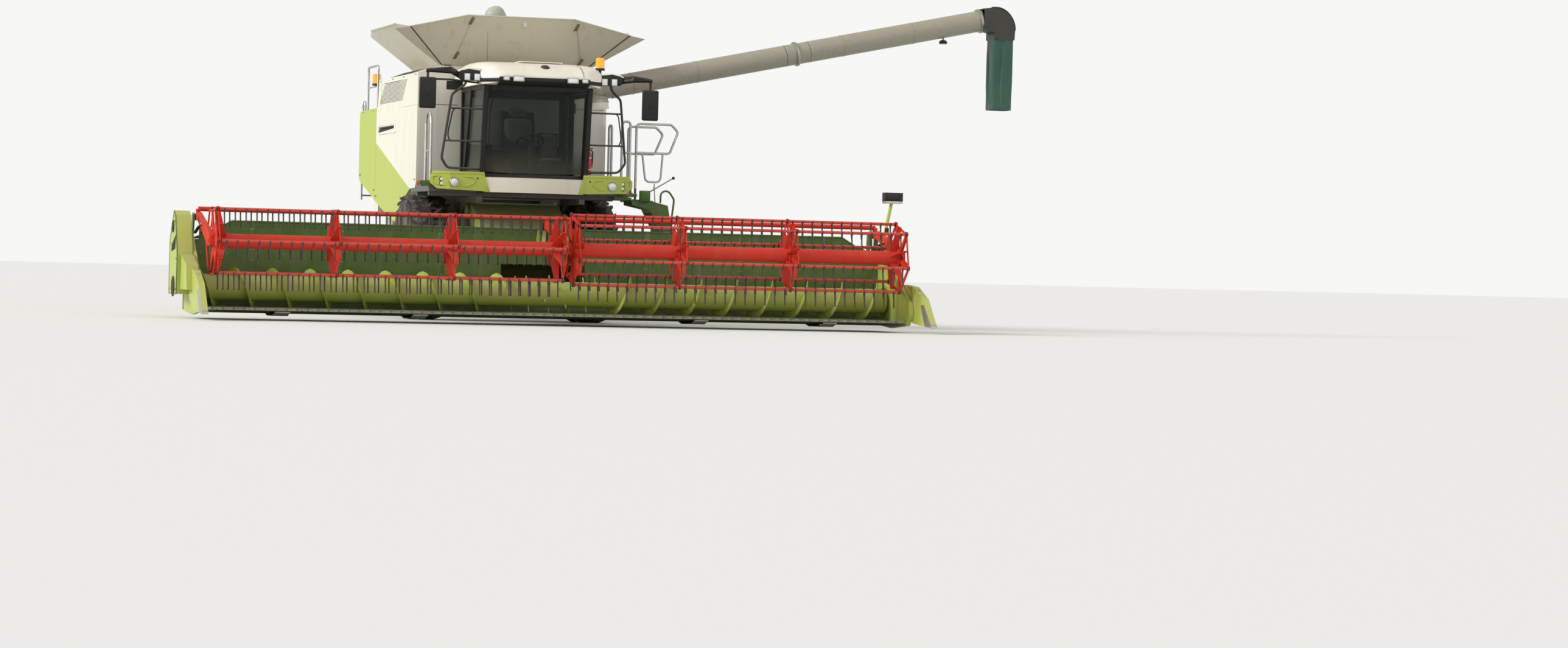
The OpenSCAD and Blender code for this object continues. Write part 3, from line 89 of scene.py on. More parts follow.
class Value:
    """A node's output, which takes part in sums as a plain number does."""

    def __init__(self, finish, socket):
        self.finish, self.socket = finish, socket

    def _math(self, operation, a, b, clamp=False):
        return self.finish.node(
            "ShaderNodeMath", {"operation": operation, "use_clamp": clamp}, {0: a, 1: b}
        )

    def __add__(self, other):
        return self._math("ADD", self, other)

    def __radd__(self, other):
        return self._math("ADD", other, self)

    def __sub__(self, other):
        return self._math("SUBTRACT", self, other)

    def __rsub__(self, other):
        return self._math("SUBTRACT", other, self)

    def __mul__(self, other):
        return self._math("MULTIPLY", self, other)

    def __rmul__(self, other):
        return self._math("MULTIPLY", other, self)

    def __gt__(self, other):
        return self._math("GREATER_THAN", self, other)

    def __lt__(self, other):
        return self._math("LESS_THAN", self, other)

    def clamp(self):
        return self._math("ADD", self, 0.0, True)

    def sine(self):
        return self._math("SINE", self, 0.0)

    def ramp(self, low, high):
        """0 below low, 1 above high and smooth between."""
        return self.finish.node(
            "ShaderNodeMapRange",
            {"interpolation_type": "SMOOTHSTEP"},
            {"Value": self, "From Min": low, "From Max": high},
        )


class Finish:
    """One material, built node by node."""

    def __init__(self, name):
        self.material = bpy.data.materials.new(name)
        self.material.use_nodes = True
        self.tree = self.material.node_tree
        self.tree.nodes.clear()

    def node(self, kind, settings=None, sockets=None, out=0):
        made = self.tree.nodes.new(kind)
        for key, value in (settings or {}).items():
            setattr(made, key, value)
        for key, value in (sockets or {}).items():
            if isinstance(value, Value):
                self.tree.links.new(value.socket, made.inputs[key])
            else:
                made.inputs[key].default_value = value
        return Value(self, made.outputs[out]) if made.outputs else None

    def place(self):
        return self.node("ShaderNodeTexCoord", out="Object")

    def stretched(self, place, scale):
        return self.node("ShaderNodeMapping", None, {"Vector": place, "Scale": scale})

    def parts(self, vector):
        """The x, y and z of a vector."""
        split = self.tree.nodes.new("ShaderNodeSeparateXYZ")
        self.tree.links.new(vector.socket, split.inputs[0])
        return [Value(self, o) for o in split.outputs]

    def normal(self):
        return self.node("ShaderNodeNewGeometry", out="Normal")

    def noise(self, place, scale, detail=2.0):
        return self.node(
            "ShaderNodeTexNoise", None, {"Vector": place, "Scale": scale, "Detail": detail}
        )

    def mix(self, factor, a, b):
        """Colour a where the factor is 0, b where it is 1."""
        return self.node(
            "ShaderNodeMix", {"data_type": "RGBA"}, {0: factor, 6: rgba(a), 7: rgba(b)}, 2
        )

    def bump(self, height, strength, distance):
        return self.node(
            "ShaderNodeBump", None, {"Strength": strength, "Distance": distance, "Height": height}
        )

    def skin(self, **sockets):
        """Ends the material in one Principled surface."""
        shader = self.node(
            "ShaderNodeBsdfPrincipled", None, {k.replace("_", " "): v for k, v in sockets.items()}
        )
        self.node("ShaderNodeOutputMaterial", None, {"Surface": shader})
        return self.material


def rgba(colour):
    return colour if isinstance(colour, Value) else (*colour[:3], 1.0)


DUST = (0.50, 0.42, 0.27)  # dry harvest dust, the same on every finish


def settled_dust(f, place, amount):
    """Chaff and dust on what faces up and near the ground."""
    z = f.parts(place)[2]
    facing = f.parts(f.normal())[2]
    grit = f.noise(place, 6.0, 6.0)
    film = f.noise(place, 0.7, 2.0)
    low = 1.0 - z.ramp(0.2, 2.6)
    return ((facing.clamp() * 0.8 + low * 0.55 + 0.12) * grit * (film + 0.45) * amount
            * 2.0).clamp()


def paint(name, colour, dust=0.35, rough=0.36, tint=None, streaks=0.2, coat=0.25, gloss=0.5):
    """Sprayed enamel with orange peel, rain streaks and settled dust."""
    f = Finish(name)
    place = f.place()
    base = tint(f, place) if tint else colour
    drift = f.noise(place, 1.1, 3.0)
    if not tint:
        base = f.mix((drift * 0.5).clamp(), base, tuple(c * 0.82 for c in colour))
    runs = f.noise(f.stretched(place, (9.0, 9.0, 0.55)), 1.0, 4.0).ramp(0.52, 0.78)
    base = f.mix(runs * streaks, base, (0.32, 0.28, 0.20))
    dusty = settled_dust(f, place, dust)
    base = f.mix(dusty, base, DUST)
    peel = f.noise(place, 240.0, 1.0)
    return f.skin(
        Base_Color=base,
        Roughness=(rough + dusty * 0.5 + drift * 0.12).clamp(),
        Coat_Weight=(coat - dusty * coat).clamp(),
        Coat_Roughness=0.15,
        Specular_IOR_Level=gloss,
        Normal=f.bump(peel, 0.06, 0.001),
    )


def two_tone(cream, lime):
    """The side panels' cream, with the lime field below and behind a slanted edge."""

    def tint(f, place):
        _, y, z = f.parts(place)
        along = y - AXLE.y  # from the front axle, rearwards
        field = ((along * 0.2784 + 1.983) - z).ramp(-0.004, 0.004)
        rear = (along - 3.04).ramp(-0.004, 0.004)
        return f.mix((field + rear).clamp(), cream, lime)

    return tint


def metal(name, colour, rough=0.4, dust=0.2, brushed=0.0, rust=0.0, metallic=1.0):
    """Bare or plated metal, patchy, with rust where it is asked for."""
    f = Finish(name)
    place = f.place()
    patch = f.noise(place, 14.0, 4.0)
    dusty = settled_dust(f, place, dust)
    base = f.mix(patch * 0.6, colour, tuple(c * 0.62 for c in colour))
    if rust:
        worn = f.noise(place, 5.0, 7.0).ramp(0.58, 0.72) * rust
        base = f.mix(worn, base, (0.23, 0.10, 0.04))
        bare = metallic - worn * metallic
    else:
        bare = metallic
    base = f.mix(dusty, base, DUST)
    spangle = f.noise(place, 90.0 + brushed * 160.0, 2.0)
    return f.skin(
        Base_Color=base,
        Metallic=bare if isinstance(bare, float) else bare.clamp(),
        Roughness=(rough + patch * 0.2 + dusty * 0.4).clamp(),
        Normal=f.bump(spangle, 0.12, 0.001),
    )


def two_finishes(name, mask, near, far, rough=(0.4, 0.45), bare=(1.0, 0.0), dust=0.2):
    """One finish where the mask is 0 and another where it is 1."""
    f = Finish(name)
    place = f.place()
    where = mask(f, place)
    dusty = settled_dust(f, place, dust)
    patch = f.noise(place, 14.0, 4.0)
    base = f.mix(where, near, far)
    base = f.mix(patch * 0.35, base, (0.10, 0.09, 0.08))
    return f.skin(
        Base_Color=f.mix(dusty, base, DUST),
        Metallic=(where * (bare[1] - bare[0]) + bare[0]).clamp(),
        Roughness=(where * (rough[1] - rough[0]) + rough[0] + patch * 0.12 + dusty * 0.3).clamp(),
        Normal=f.bump(f.noise(place, 110.0, 2.0), 0.12, 0.001),
    )


def ahead_of(level):
    """1 in front of a level that is measured from the axle."""
    return lambda f, place: 1.0 - (f.parts(place)[1] - AXLE.y).ramp(level - 0.004, level)


def beyond(level):
    """1 further out to the left than a level that is measured from the axle."""
    return lambda f, place: (f.parts(place)[0] - AXLE.x).ramp(level - 0.003, level)


def lower_than(level):
    """1 below a level above the ground, in metres."""
    return lambda f, place: 1.0 - f.parts(place)[2].ramp(level - 0.003, level)


def on_bars(phase):
    """1 on the six tine bars of a reel half, whose first bar stands at a phase in degrees."""

    def mask(f, place):
        _, y, z = f.parts(place)
        total = None
        for k in range(6):
            a = math.radians(phase + 60 * k)
            dy = y - (AXLE.y + REEL_Y / 1000 + REEL_R / 1000 * math.sin(a))
            dz = z - (REEL_Z / 1000 + REEL_R / 1000 * math.cos(a))
            near = (dy * dy + dz * dz) < BAR_REACH**2
            total = near if total is None else total + near
        return total.clamp()

    return mask


def plastic(name, colour, rough=0.55, grain=260.0, dust=0.25, gloss=0.5):
    """Moulded plastic with a fine grain."""
    f = Finish(name)
    place = f.place()
    dusty = settled_dust(f, place, dust)
    pores = f.noise(place, grain, 2.0)
    base = f.mix(f.noise(place, 3.0, 3.0) * 0.5, colour, tuple(c * 1.35 + 0.01 for c in colour))
    return f.skin(
        Base_Color=f.mix(dusty, base, DUST),
        Roughness=(rough + dusty * 0.3 + pores * 0.1).clamp(),
        Specular_IOR_Level=gloss,
        Normal=f.bump(pores, 0.25, 0.0008),
    )


def rubber(name):
    """Tyre rubber, with dried soil on the tread and dust in the sidewall."""
    f = Finish(name)
    place = f.place()
    soil = f.noise(place, 7.0, 8.0).ramp(0.44, 0.66)
    film = f.noise(place, 1.7, 2.0)
    fine = f.noise(place, 120.0, 3.0)
    base = f.mix(film * 0.5, (0.022, 0.021, 0.020), (0.05, 0.047, 0.042))
    base = f.mix(soil * 0.5, base, (0.26, 0.20, 0.13))
    return f.skin(
        Base_Color=base,
        Roughness=(0.72 + fine * 0.2).clamp(),
        Normal=f.bump(fine + soil, 0.3, 0.003),
    )


def tinted_glass(name, framed=False):
    """Green-tinted safety glass with a thin film of dust; the door's is framed in black."""
    f = Finish(name)
    place = f.place()
    x, y, z = f.parts(place)
    film = f.noise(place, 2.2, 5.0)
    low = 1.0 - z.ramp(2.2, 2.75)
    alpha = 0.22 + film * 0.10 + low * 0.25
    tint = f.mix((low * film * 0.5).clamp(), (0.008, 0.020, 0.014), (0.30, 0.26, 0.18))
    rough = 0.04 + low * film * 0.12
    if framed:
        side, along = x - AXLE.x, y - AXLE.y
        pane = (side > 0.8165) * (side < 0.8315) * (z > 2.171) * (z < 3.479) * (along < -0.901)
        pane = pane * ((along + (z - 2.17) * 0.1167) > -1.579)
        alpha = 1.0 - pane * (1.0 - alpha)
        tint = f.mix(pane, (0.012, 0.012, 0.012), tint)
        rough = 0.42 - pane * 0.36
    return f.skin(
        Base_Color=tint,
        Roughness=rough.clamp(),
        Alpha=alpha.clamp(),
        Coat_Weight=((AXLE.x - 0.78) - x).ramp(0.0, 0.03),
        Specular_IOR_Level=0.35,
    )


def lens(name, colour, glow=0.0):
    """Ribbed lamp lens."""
    f = Finish(name)
    place = f.place()
    x, _, z = f.parts(place)
    ribs = ((x * 420.0).sine() + (z * 420.0).sine()) * 0.25 + 0.5
    return f.skin(
        Base_Color=f.mix(ribs * 0.4, colour, tuple(min(1, c * 1.3 + 0.05) for c in colour)),
        Roughness=0.12,
        Coat_Weight=0.8,
        Emission_Color=rgba(colour),
        Emission_Strength=glow,
        Normal=f.bump(ribs, 0.35, 0.002),
    )


def woven(name, colour, scale, rough=0.85, dust=0.3):
    """Plain weave from two crossed sets of threads."""
    f = Finish(name)
    place = f.place()
    x, y, z = f.parts(place)
    warp = ((x + y) * scale).sine()
    weft = (z * scale).sine()
    weave = (warp * weft) * 0.5 + 0.5
    fade = f.noise(place, 2.4, 4.0)
    dusty = settled_dust(f, place, dust)
    base = f.mix(weave * 0.35, colour, tuple(c * 0.6 for c in colour))
    base = f.mix(fade * 0.35, base, tuple(c * 1.5 + 0.03 for c in colour))
    return f.skin(
        Base_Color=f.mix(dusty, base, DUST),
        Roughness=(rough + dusty * 0.1).clamp(),
        Sheen_Weight=0.25,
        Normal=f.bump(weave + fade, 0.3, 0.0015),
    )


# Modelling


def clear():
    """Leaves edit mode and selects nothing."""
    if bpy.context.object and bpy.context.object.mode != "OBJECT":
        bpy.ops.object.mode_set(mode="OBJECT")
    bpy.ops.object.select_all(action="DESELECT")


class Shaping:
    """Edit mode on one object, where edges are chosen by place."""

    def __init__(self, obj, kind="FACE"):
        self.obj, self.kind = obj, kind

    def __enter__(self):
        clear()
        self.obj.select_set(True)
        bpy.context.view_layer.objects.active = self.obj
        bpy.ops.object.mode_set(mode="EDIT")
        bpy.ops.mesh.select_mode(type=self.kind)
        bpy.ops.mesh.select_all(action="DESELECT")
        return self

    def __exit__(self, *_):
        bpy.ops.object.mode_set(mode="OBJECT")

    def edges(self, test):
        mesh = bmesh.from_edit_mesh(self.obj.data)
        for e in mesh.edges:
            a, b = (v.co for v in e.verts)
            e.select_set(test((a + b) / 2))
        bmesh.update_edit_mesh(self.obj.data)


def block(size, place=(0, 0, 0), round_edges=0.0, steps=2):
    """A rectangular block in metres, whose edges are rounded."""
    clear()
    bpy.ops.mesh.primitive_cube_add(size=1.0, location=place)
    obj = bpy.context.active_object
    obj.scale = size
    bpy.ops.object.transform_apply(location=False, rotation=False, scale=True)
    if round_edges:
        with Shaping(obj):
            bpy.ops.mesh.select_all(action="SELECT")
            bpy.ops.mesh.bevel(offset=round_edges, segments=steps)
    return obj


def drum(radius, length, place=(0, 0, 0), sides=24, round_edges=0.0):
    """An upright round drum in metres, with rounded rims."""
    clear()
    bpy.ops.mesh.primitive_cylinder_add(
        radius=radius, depth=length, vertices=sides, location=place
    )
    obj = bpy.context.active_object
    if round_edges:
        with Shaping(obj, "EDGE") as shaping:
            shaping.edges(lambda mid: abs(abs(mid.z) - length / 2) < 1e-5)
            bpy.ops.mesh.bevel(offset=round_edges, segments=2)
    return obj


def copies(obj, matrices):
    """Copies of a finished shape, each with its own mesh; the first one is the shape itself."""
    clear()
    bpy.context.view_layer.objects.active = obj
    obj.select_set(True)
    bpy.ops.object.transform_apply(location=True, rotation=True, scale=True)
    made = []
    for m in matrices:
        one = obj.copy()
        one.data = obj.data.copy()
        one.data.transform(m)
        bpy.context.scene.collection.objects.link(one)
        made.append(one)
    bpy.data.objects.remove(obj)
    return made


def join(name, parts):
    """One object from many, whose place is in its mesh."""
    clear()
    for part in parts:
        part.select_set(True)
    bpy.context.view_layer.objects.active = parts[0]
    bpy.ops.object.transform_apply(location=True, rotation=True, scale=True)
    if len(parts) > 1:
        bpy.ops.object.join()
    obj = bpy.context.active_object
    obj.name = obj.data.name = name
    return obj


def dress(obj, body, material, angle=35):
    """Gives a piece its finish and sets it on its body."""
    obj.data.materials.clear()
    obj.data.materials.append(MATERIALS[material])
    clear()
    obj.select_set(True)
    bpy.context.view_layer.objects.active = obj
    bpy.ops.object.shade_smooth_by_angle(angle=math.radians(angle))
    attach(obj, body)
    return obj


def piece(name, parts, material, body="machine", angle=35):
    """Joins parts into one dressed piece on a body."""
    return dress(join(name, parts), body, material, angle)


def meshed(name, verts, faces):
    """An object from places in metres and the faces between them."""
    mesh = bpy.data.meshes.new(name)
    mesh.from_pydata([tuple(v) for v in verts], [], faces)
    obj = bpy.data.objects.new(name, mesh)
    bpy.context.scene.collection.objects.link(obj)
    return obj


def tube_mesh(name, points, radius, sides=10):
    """A capped tube swept along a path in metres."""
    verts, faces = [], []
    side = Vector((0, 0, 1))
    for i, p in enumerate(points):
        way = (points[min(i + 1, len(points) - 1)] - points[max(i - 1, 0)]).normalized()
        if abs(way.dot(side)) > 0.95 and i == 0:
            side = Vector((1, 0, 0))
        side = (side - way * side.dot(way)).normalized()
        up = way.cross(side)
        for k in range(sides):
            a = math.tau * k / sides
            verts.append(p + (side * math.cos(a) + up * math.sin(a)) * radius)
    for i in range(len(points) - 1):
        for k in range(sides):
            n = (k + 1) % sides
            faces.append((i * sides + k, i * sides + n, (i + 1) * sides + n, (i + 1) * sides + k))
    faces.append(tuple(range(sides))[::-1])
    faces.append(tuple((len(points) - 1) * sides + k for k in range(sides)))
    return meshed(name, verts, faces)


def curve_through(points, steps=8):
    """Points along a smooth curve through a few given ones."""
    p = [Vector(q) for q in points]
    p = [p[0] * 2 - p[1]] + p + [p[-1] * 2 - p[-2]]
    out = []
    for i in range(1, len(p) - 2):
        for k in range(steps):
            t = k / steps
            a, b, c, d = p[i - 1 : i + 3]
            out.append(
                0.5
                * (
                    (2 * b)
                    + (c - a) * t
                    + (2 * a - 5 * b + 4 * c - d) * t * t
                    + (3 * b - a - 3 * c + d) * t**3
                )
            )
    out.append(p[-2])
    return out


def slab(outline, axis, level, thick, round_edges=0.0):
    """A plate cut to an outline across an axis, in millimetres, with rounded edges."""
    clear()
    bpy.ops.mesh.primitive_circle_add(vertices=len(outline), fill_type="NGON")
    obj = bpy.context.active_object
    for v, (a, b) in zip(obj.data.vertices, outline):
        v.co = at(*{"x": (level, a, b), "y": (a, level, b), "z": (a, b, level)}[axis])
    way = {"x": (1, 0, 0), "y": (0, 1, 0), "z": (0, 0, 1)}[axis]
    with Shaping(obj):
        bpy.ops.mesh.select_all(action="SELECT")
        bpy.ops.mesh.extrude_region_move(
            TRANSFORM_OT_translate={"value": [c * thick / 1000 for c in way]}
        )
        bpy.ops.mesh.select_all(action="SELECT")
        bpy.ops.mesh.normals_make_consistent(inside=False)
        if round_edges:
            bpy.ops.mesh.bevel(offset=round_edges / 1000, segments=2)
    return obj


def brick(x0, x1, y0, y1, z0, z1, round_edges=3.0):
    """A rounded block between corners given in millimetres."""
    low, high = at(min(x0, x1), min(y0, y1), min(z0, z1)), at(max(x0, x1), max(y0, y1), max(z0, z1))
    return block(high - low, (low + high) / 2, round_edges / 1000)


def rod(a, b, diameter, sides=12, round_edges=0.0):
    """A round bar between two places in millimetres."""
    a, b = at(*a), at(*b)
    obj = drum(diameter / 2000, (b - a).length, sides=sides, round_edges=round_edges / 1000)
    obj.matrix_world = Matrix.Translation((a + b) / 2) @ (
        (b - a).to_track_quat("Z", "Y").to_matrix().to_4x4()
    )
    return obj


def hose(name, points, diameter, sides=10, steps=6):
    """A bent tube through places in millimetres."""
    return tube_mesh(name, curve_through([at(*p) for p in points], steps), diameter / 2000, sides)


def towards(way, place, turn=0.0):
    """Stands a shape modelled along +Z at the origin on a place in millimetres."""
    quat = Vector(way).normalized().to_track_quat("Z", "Y")
    spin = Matrix.Rotation(turn, 4, "Z")
    return Matrix.Translation(at(*place)) @ quat.to_matrix().to_4x4() @ spin


def bolt(size=0.018):
    """A hexagonal bolt head on its washer, standing on the origin."""
    washer = drum(size * 0.72, size * 0.16, (0, 0, size * 0.08), sides=14)
    head = drum(size * 0.56, size * 0.42, (0, 0, size * 0.36), sides=6, round_edges=size * 0.05)
    return join("bolt", [washer, head])


def bolts(places, way, size=18):
    """Bolt heads at places in millimetres, all facing one way."""
    return copies(bolt(size / 1000), [towards(way, p, 0.3 * i) for i, p in enumerate(places)])


def header_half():
    """Half the header frame's width in millimetres."""
    low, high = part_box("header_frame")
    return (high[0] - low[0]) * 500


def ring_places(centre, radius, count):
    """Places round an upright circle across the machine's X, in millimetres."""
    x, y, z = centre
    turns = [math.tau * k / count for k in range(count)]
    return [(x, y + radius * math.cos(a), z + radius * math.sin(a)) for a in turns]


def sided(s, points):
    """Places or corners whose first number is turned to the left, 1, or the right, -1."""
    return [(s * p[0], *p[1:]) for p in points]


def bars(places, diameter, sides, round_edges=3):
    """Round bars from each place to the next."""
    return [rod(a, b, diameter, sides, round_edges) for a, b in zip(places, places[1:])]


def moved(x, y, z):
    """Takes a shape modelled round the point below the axle to a place in millimetres."""
    return Matrix.Translation(at(x, y, z) - at(0, 0, 0))


def turned(profile, place, way, sides=32):
    """A shape turned on a lathe: (radius, height) pairs in millimetres, spun about a way."""
    verts, faces, n = [], [], sides
    for r, h in profile:
        for k in range(n):
            a = math.tau * k / n
            verts.append((r * math.cos(a) / 1000, r * math.sin(a) / 1000, h / 1000))
    for j in range(len(profile) - 1):
        for k in range(n):
            m = (k + 1) % n
            faces.append((j * n + k, j * n + m, (j + 1) * n + m, (j + 1) * n + k))
    faces.append(tuple(range(n))[::-1])
    faces.append(tuple((len(profile) - 1) * n + k for k in range(n)))
    obj = meshed("turned", verts, faces)
    obj.data.transform(towards(way, place))
    return obj


def loft(rings):
    """A closed skin through rings of as many places each, in millimetres."""
    n = len(rings[0])
    faces = [
        (j * n + k, j * n + (k + 1) % n, (j + 1) * n + (k + 1) % n, (j + 1) * n + k)
        for j in range(len(rings) - 1)
        for k in range(n)
    ]
    faces += [tuple(range(n))[::-1], tuple((len(rings) - 1) * n + k for k in range(n))]
    obj = meshed("loft", [at(*p) for ring in rings for p in ring], faces)
    with Shaping(obj):
        bpy.ops.mesh.select_all(action="SELECT")
        bpy.ops.mesh.normals_make_consistent(inside=False)
    return obj


def fairing(stations):
    """A flattened arm skin: (x, y, half thickness, low, high) at each station."""
    return loft([
        [(x, y - d, low + d), (x, y - d, high - d), (x, y, high), (x, y + d, high - d),
         (x, y + d, low + d), (x, y, low)]
        for x, y, d, low, high in stations
    ])


# Sizes and colours that a user may change


class HarvesterLooks(PropertyGroup):
    """Paint colours, the canvas and the dust, as a user may want them"""

    cream: FloatVectorProperty(
        name="Cream paint", description="Body panels, covers and tube",
        subtype="COLOR", size=3, default=(0.78, 0.76, 0.64), min=0, max=1,
    )
    lime: FloatVectorProperty(
        name="Lime paint", description="Rear flank, fascia ends and intake auger",
        subtype="COLOR", size=3, default=(0.42, 0.52, 0.045), min=0, max=1,
    )
    header_green: FloatVectorProperty(
        name="Header green", description="Header trough, wall and beams",
        subtype="COLOR", size=3, default=(0.050, 0.138, 0.010), min=0, max=1,
    )
    reel_red: FloatVectorProperty(
        name="Reel red", description="Reel tubes, spiders and arms",
        subtype="COLOR", size=3, default=(0.62, 0.020, 0.007), min=0, max=1,
    )
    canvas: FloatVectorProperty(
        name="Canvas", description="The unloading chute's cloth",
        subtype="COLOR", size=3, default=(0.007, 0.072, 0.042), min=0, max=1,
    )
    dust: FloatProperty(
        name="Dust", description="How much harvest dust lies on the paint", default=0.35,
        min=0.0, max=1.0, subtype="FACTOR",
    )
    chute_folds: FloatProperty(
        name="Chute folds", description="How deep the canvas chute's folds are", default=1.0,
        min=0.0, max=1.5, subtype="FACTOR",
    )


MATERIALS = {}


def looks():
    """The colours and amounts that are set in the scene."""
    return bpy.context.scene.harvester_looks


class HARVESTER_OT_finishes(Operator):
    """Makes the finishes and gives every CAD node its own"""

    bl_idname = "harvester.finishes"
    bl_label = "Finishes"

    def execute(self, context):
        look = looks()
        cream, lime, dust = tuple(look.cream), tuple(look.lime), look.dust
        MATERIALS.update(
            cream=paint("cream_enamel", cream, dust),
            flank=paint("flank_enamel", cream, dust, tint=two_tone(cream, lime)),
            lime=paint("lime_enamel", lime, dust),
            housing=paint("housing_grey", (0.42, 0.43, 0.38), dust + 0.2, 0.5),
            tank=paint("tank_grey", (0.74, 0.72, 0.63), dust * 0.8, 0.45),
            header=paint("header_green", tuple(look.header_green), dust * 0.7, 0.46, streaks=0.2,
                         coat=0.0, gloss=0.35),
            red=paint("reel_red", tuple(look.reel_red), dust * 0.2, 0.46, streaks=0.05,
                      coat=0.0, gloss=0.3),
            rim=paint("rim_cream", (0.66, 0.62, 0.42), dust + 0.15, 0.45),
            frame_grey=paint("frame_charcoal", (0.055, 0.06, 0.06), dust + 0.1, 0.5),
            feeder=paint("feeder_lime", tuple(c * 0.9 for c in lime), dust + 0.25,
                         0.5, streaks=0.4),
            silver=metal("galvanised", (0.62, 0.62, 0.60), 0.34, 0.15),
            steel=metal("worn_steel", (0.46, 0.45, 0.43), 0.38, 0.3, 1.0, rust=0.5),
            cast=paint("cast_grey", (0.11, 0.115, 0.12), dust + 0.2, 0.6, coat=0.0),
            chrome=metal("chromed_rod", (0.80, 0.80, 0.82), 0.08, 0.05),
            black=plastic("black_plastic", (0.009, 0.009, 0.009), dust=0.1, gloss=0.3),
            black_gloss=plastic("black_gloss", (0.006, 0.0065, 0.0065), 0.34, 500.0,
                                0.07, gloss=0.3),
            roof=plastic("roof_cream", (0.80, 0.78, 0.68), 0.32, 420.0, dust),
            rubber=rubber("tyre_rubber"),
            glass=tinted_glass("cab_glass_green"),
            door=tinted_glass("door_glass_green", True),
            rails=two_finishes("rail_tube", ahead_of(-1.70), (0.62, 0.62, 0.60),
                               (0.012, 0.012, 0.012)),
            steps=two_finishes("ladder_paint", lower_than(2.12), (0.60, 0.60, 0.58),
                               tuple(look.header_green)),
            tines_left=two_finishes("tine_left", on_bars(BAR_PHASE["left"]), (0.012, 0.012, 0.012),
                                    tuple(look.reel_red), (0.5, 0.34), (0.0, 0.0), dust * 0.25),
            tines_right=two_finishes("tine_right", on_bars(BAR_PHASE["right"]),
                                     (0.012, 0.012, 0.012),
                                     tuple(look.reel_red), (0.5, 0.34), (0.0, 0.0), dust * 0.25),
            mirror=metal("mirror_silver", (0.86, 0.88, 0.88), 0.03, 0.05),
            hose=plastic("hose_black", (0.010, 0.010, 0.010), 0.5, 700.0, 0.35),
            signal=paint("signal_red", (0.60, 0.014, 0.010), 0.1, 0.25, streaks=0.05),
            seat=woven("seat_cloth", (0.060, 0.068, 0.066), 900.0, dust=0.1),
            canvas=woven("canvas_teal", tuple(look.canvas), 1500.0, 0.6, 0.12),
            clear_lens=lens("clear_lens", (0.78, 0.80, 0.80)),
            amber_dull=lens("marker_amber", (0.40, 0.075, 0.02)),
            amber=lens("amber_lens", (1.0, 0.30, 0.01), 0.55),
            signal_red=lens("red_lens", (0.55, 0.01, 0.01)),
            # tank covers: the cream paint darkened as painted shade for the shade the raised covers
            # stand in; the streaks and dust are dirt
            cover=paint("cover_cream_painted_shade", (0.56, 0.54, 0.43), dust * 0.8, 0.45, streaks=0.35, coat=0.1),
            olive=paint("stay_olive", (0.13, 0.115, 0.05), dust * 0.5, 0.5, coat=0.0),
            # unloading tube: the cream paint darkened as painted shade for the shade the tube lies
            # in; the black beyond the elbow is its own colour
            tube=two_finishes("tube_painted_shade_and_black_elbow", beyond(7.876), (0.33, 0.315, 0.25),
                              (0.011, 0.012, 0.011),
                              (0.36, 0.55), (0.0, 0.0), dust * 0.7),
        )
        worn_by = {
            "threshing_body": "housing", "front_axle": "frame_grey", "rear_axle": "frame_grey",
            "engine_block": "cast", "grain_tank": "tank", "tank_extension": "cover",
            "side_panel_left": "flank", "side_panel_right": "flank", "rear_hood": "cream",
            "straw_chopper": "housing", "cab_frame": "black_gloss", "cab_roof": "roof",
            "cab_glass": "glass", "cab_interior": "black", "cab_door": "door",
            "front_panel": "cream", "corner_panels": "lime", "platform": "frame_grey",
            "handrails": "rails", "ladder": "steps", "mirrors": "black", "lamps": "black_gloss",
            "unloading_auger": "tube", "chute": "canvas", "feeder_house": "feeder",
            "lift_barrels": "frame_grey", "lift_rods": "chrome", "header_frame": "header",
            "header_ends": "lime", "knife_bar": "steel", "header_auger": "lime",
            "reel_arms": "red", "reel_left": "red", "reel_right": "red",
            "reel_tines_left": "tines_left", "reel_tines_right": "tines_right",
            "knuckle_left": "cast", "knuckle_right": "cast",
        }
        for name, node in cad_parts.items():
            key = worn_by.get(name) or ("rubber" if name.startswith("tyre") else "rim")
            node.data.materials.clear()
            node.data.materials.append(MATERIALS[key])
        return {"FINISHED"}


class HARVESTER_OT_chute(Operator):
    """Hangs the canvas chute below the unloading hood"""

    bl_idname = "harvester.chute"
    bl_label = "Canvas chute"

    def execute(self, context):
        look = looks()
        low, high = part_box("chute")
        low, high = Vector(low), Vector(high)
        middle = (low + high) / 2
        wide, deep = (high.x - low.x) / 2 - 0.006, (high.y - low.y) / 2 - 0.008
        around, rows = 72, 36
        verts, faces = [], []
        for j in range(rows + 1):
            t = j / rows
            z = high.z - 0.002 - t * (high.z - low.z - 0.004)
            for i in range(around):
                a = math.tau * i / around
                c, s = math.cos(a), math.sin(a)
                k = (abs(c) ** 5 + abs(s) ** 5) ** (-1 / 5)
                fold = noise.noise(Vector((c * 2.6, s * 2.6, t * 1.1)))
                crease = noise.noise(Vector((c * 6, s * 6, t * 4 + 7)))
                slack = math.sin(math.pi * min(1.0, t * 1.05)) ** 0.7
                tuck = math.exp(-(((a - 4.35) / 0.30) ** 2)) + 0.8 * math.exp(-(((a - 1.2)
                                                                                 / 0.35) ** 2))
                limp = look.chute_folds * (slack * 0.75 + t * 0.35)
                pull = 1 - t * 0.04 - 0.06 * slack - limp * (0.24 * fold + 0.20 * tuck)
                pull += 0.030 * crease * min(1, t * 5) * look.chute_folds
                pull = min(pull, 1.0)
                verts.append((middle.x + wide * k * c * pull, middle.y + deep * k * s * pull, z))
        for j in range(rows):
            for i in range(around):
                n = (i + 1) % around
                a, b = j * around, (j + 1) * around
                faces.append((a + i, b + i, b + n, a + n))
        obj = meshed("chute_canvas", verts, faces)
        solid = obj.modifiers.new("thickness", "SOLIDIFY")
        solid.thickness, solid.offset = 0.003, -1
        clear()
        obj.select_set(True)
        context.view_layer.objects.active = obj
        bpy.ops.object.modifier_apply(modifier="thickness")
        dress(obj, "unloader", "canvas", 60)
        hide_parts("chute")
        return {"FINISHED"}


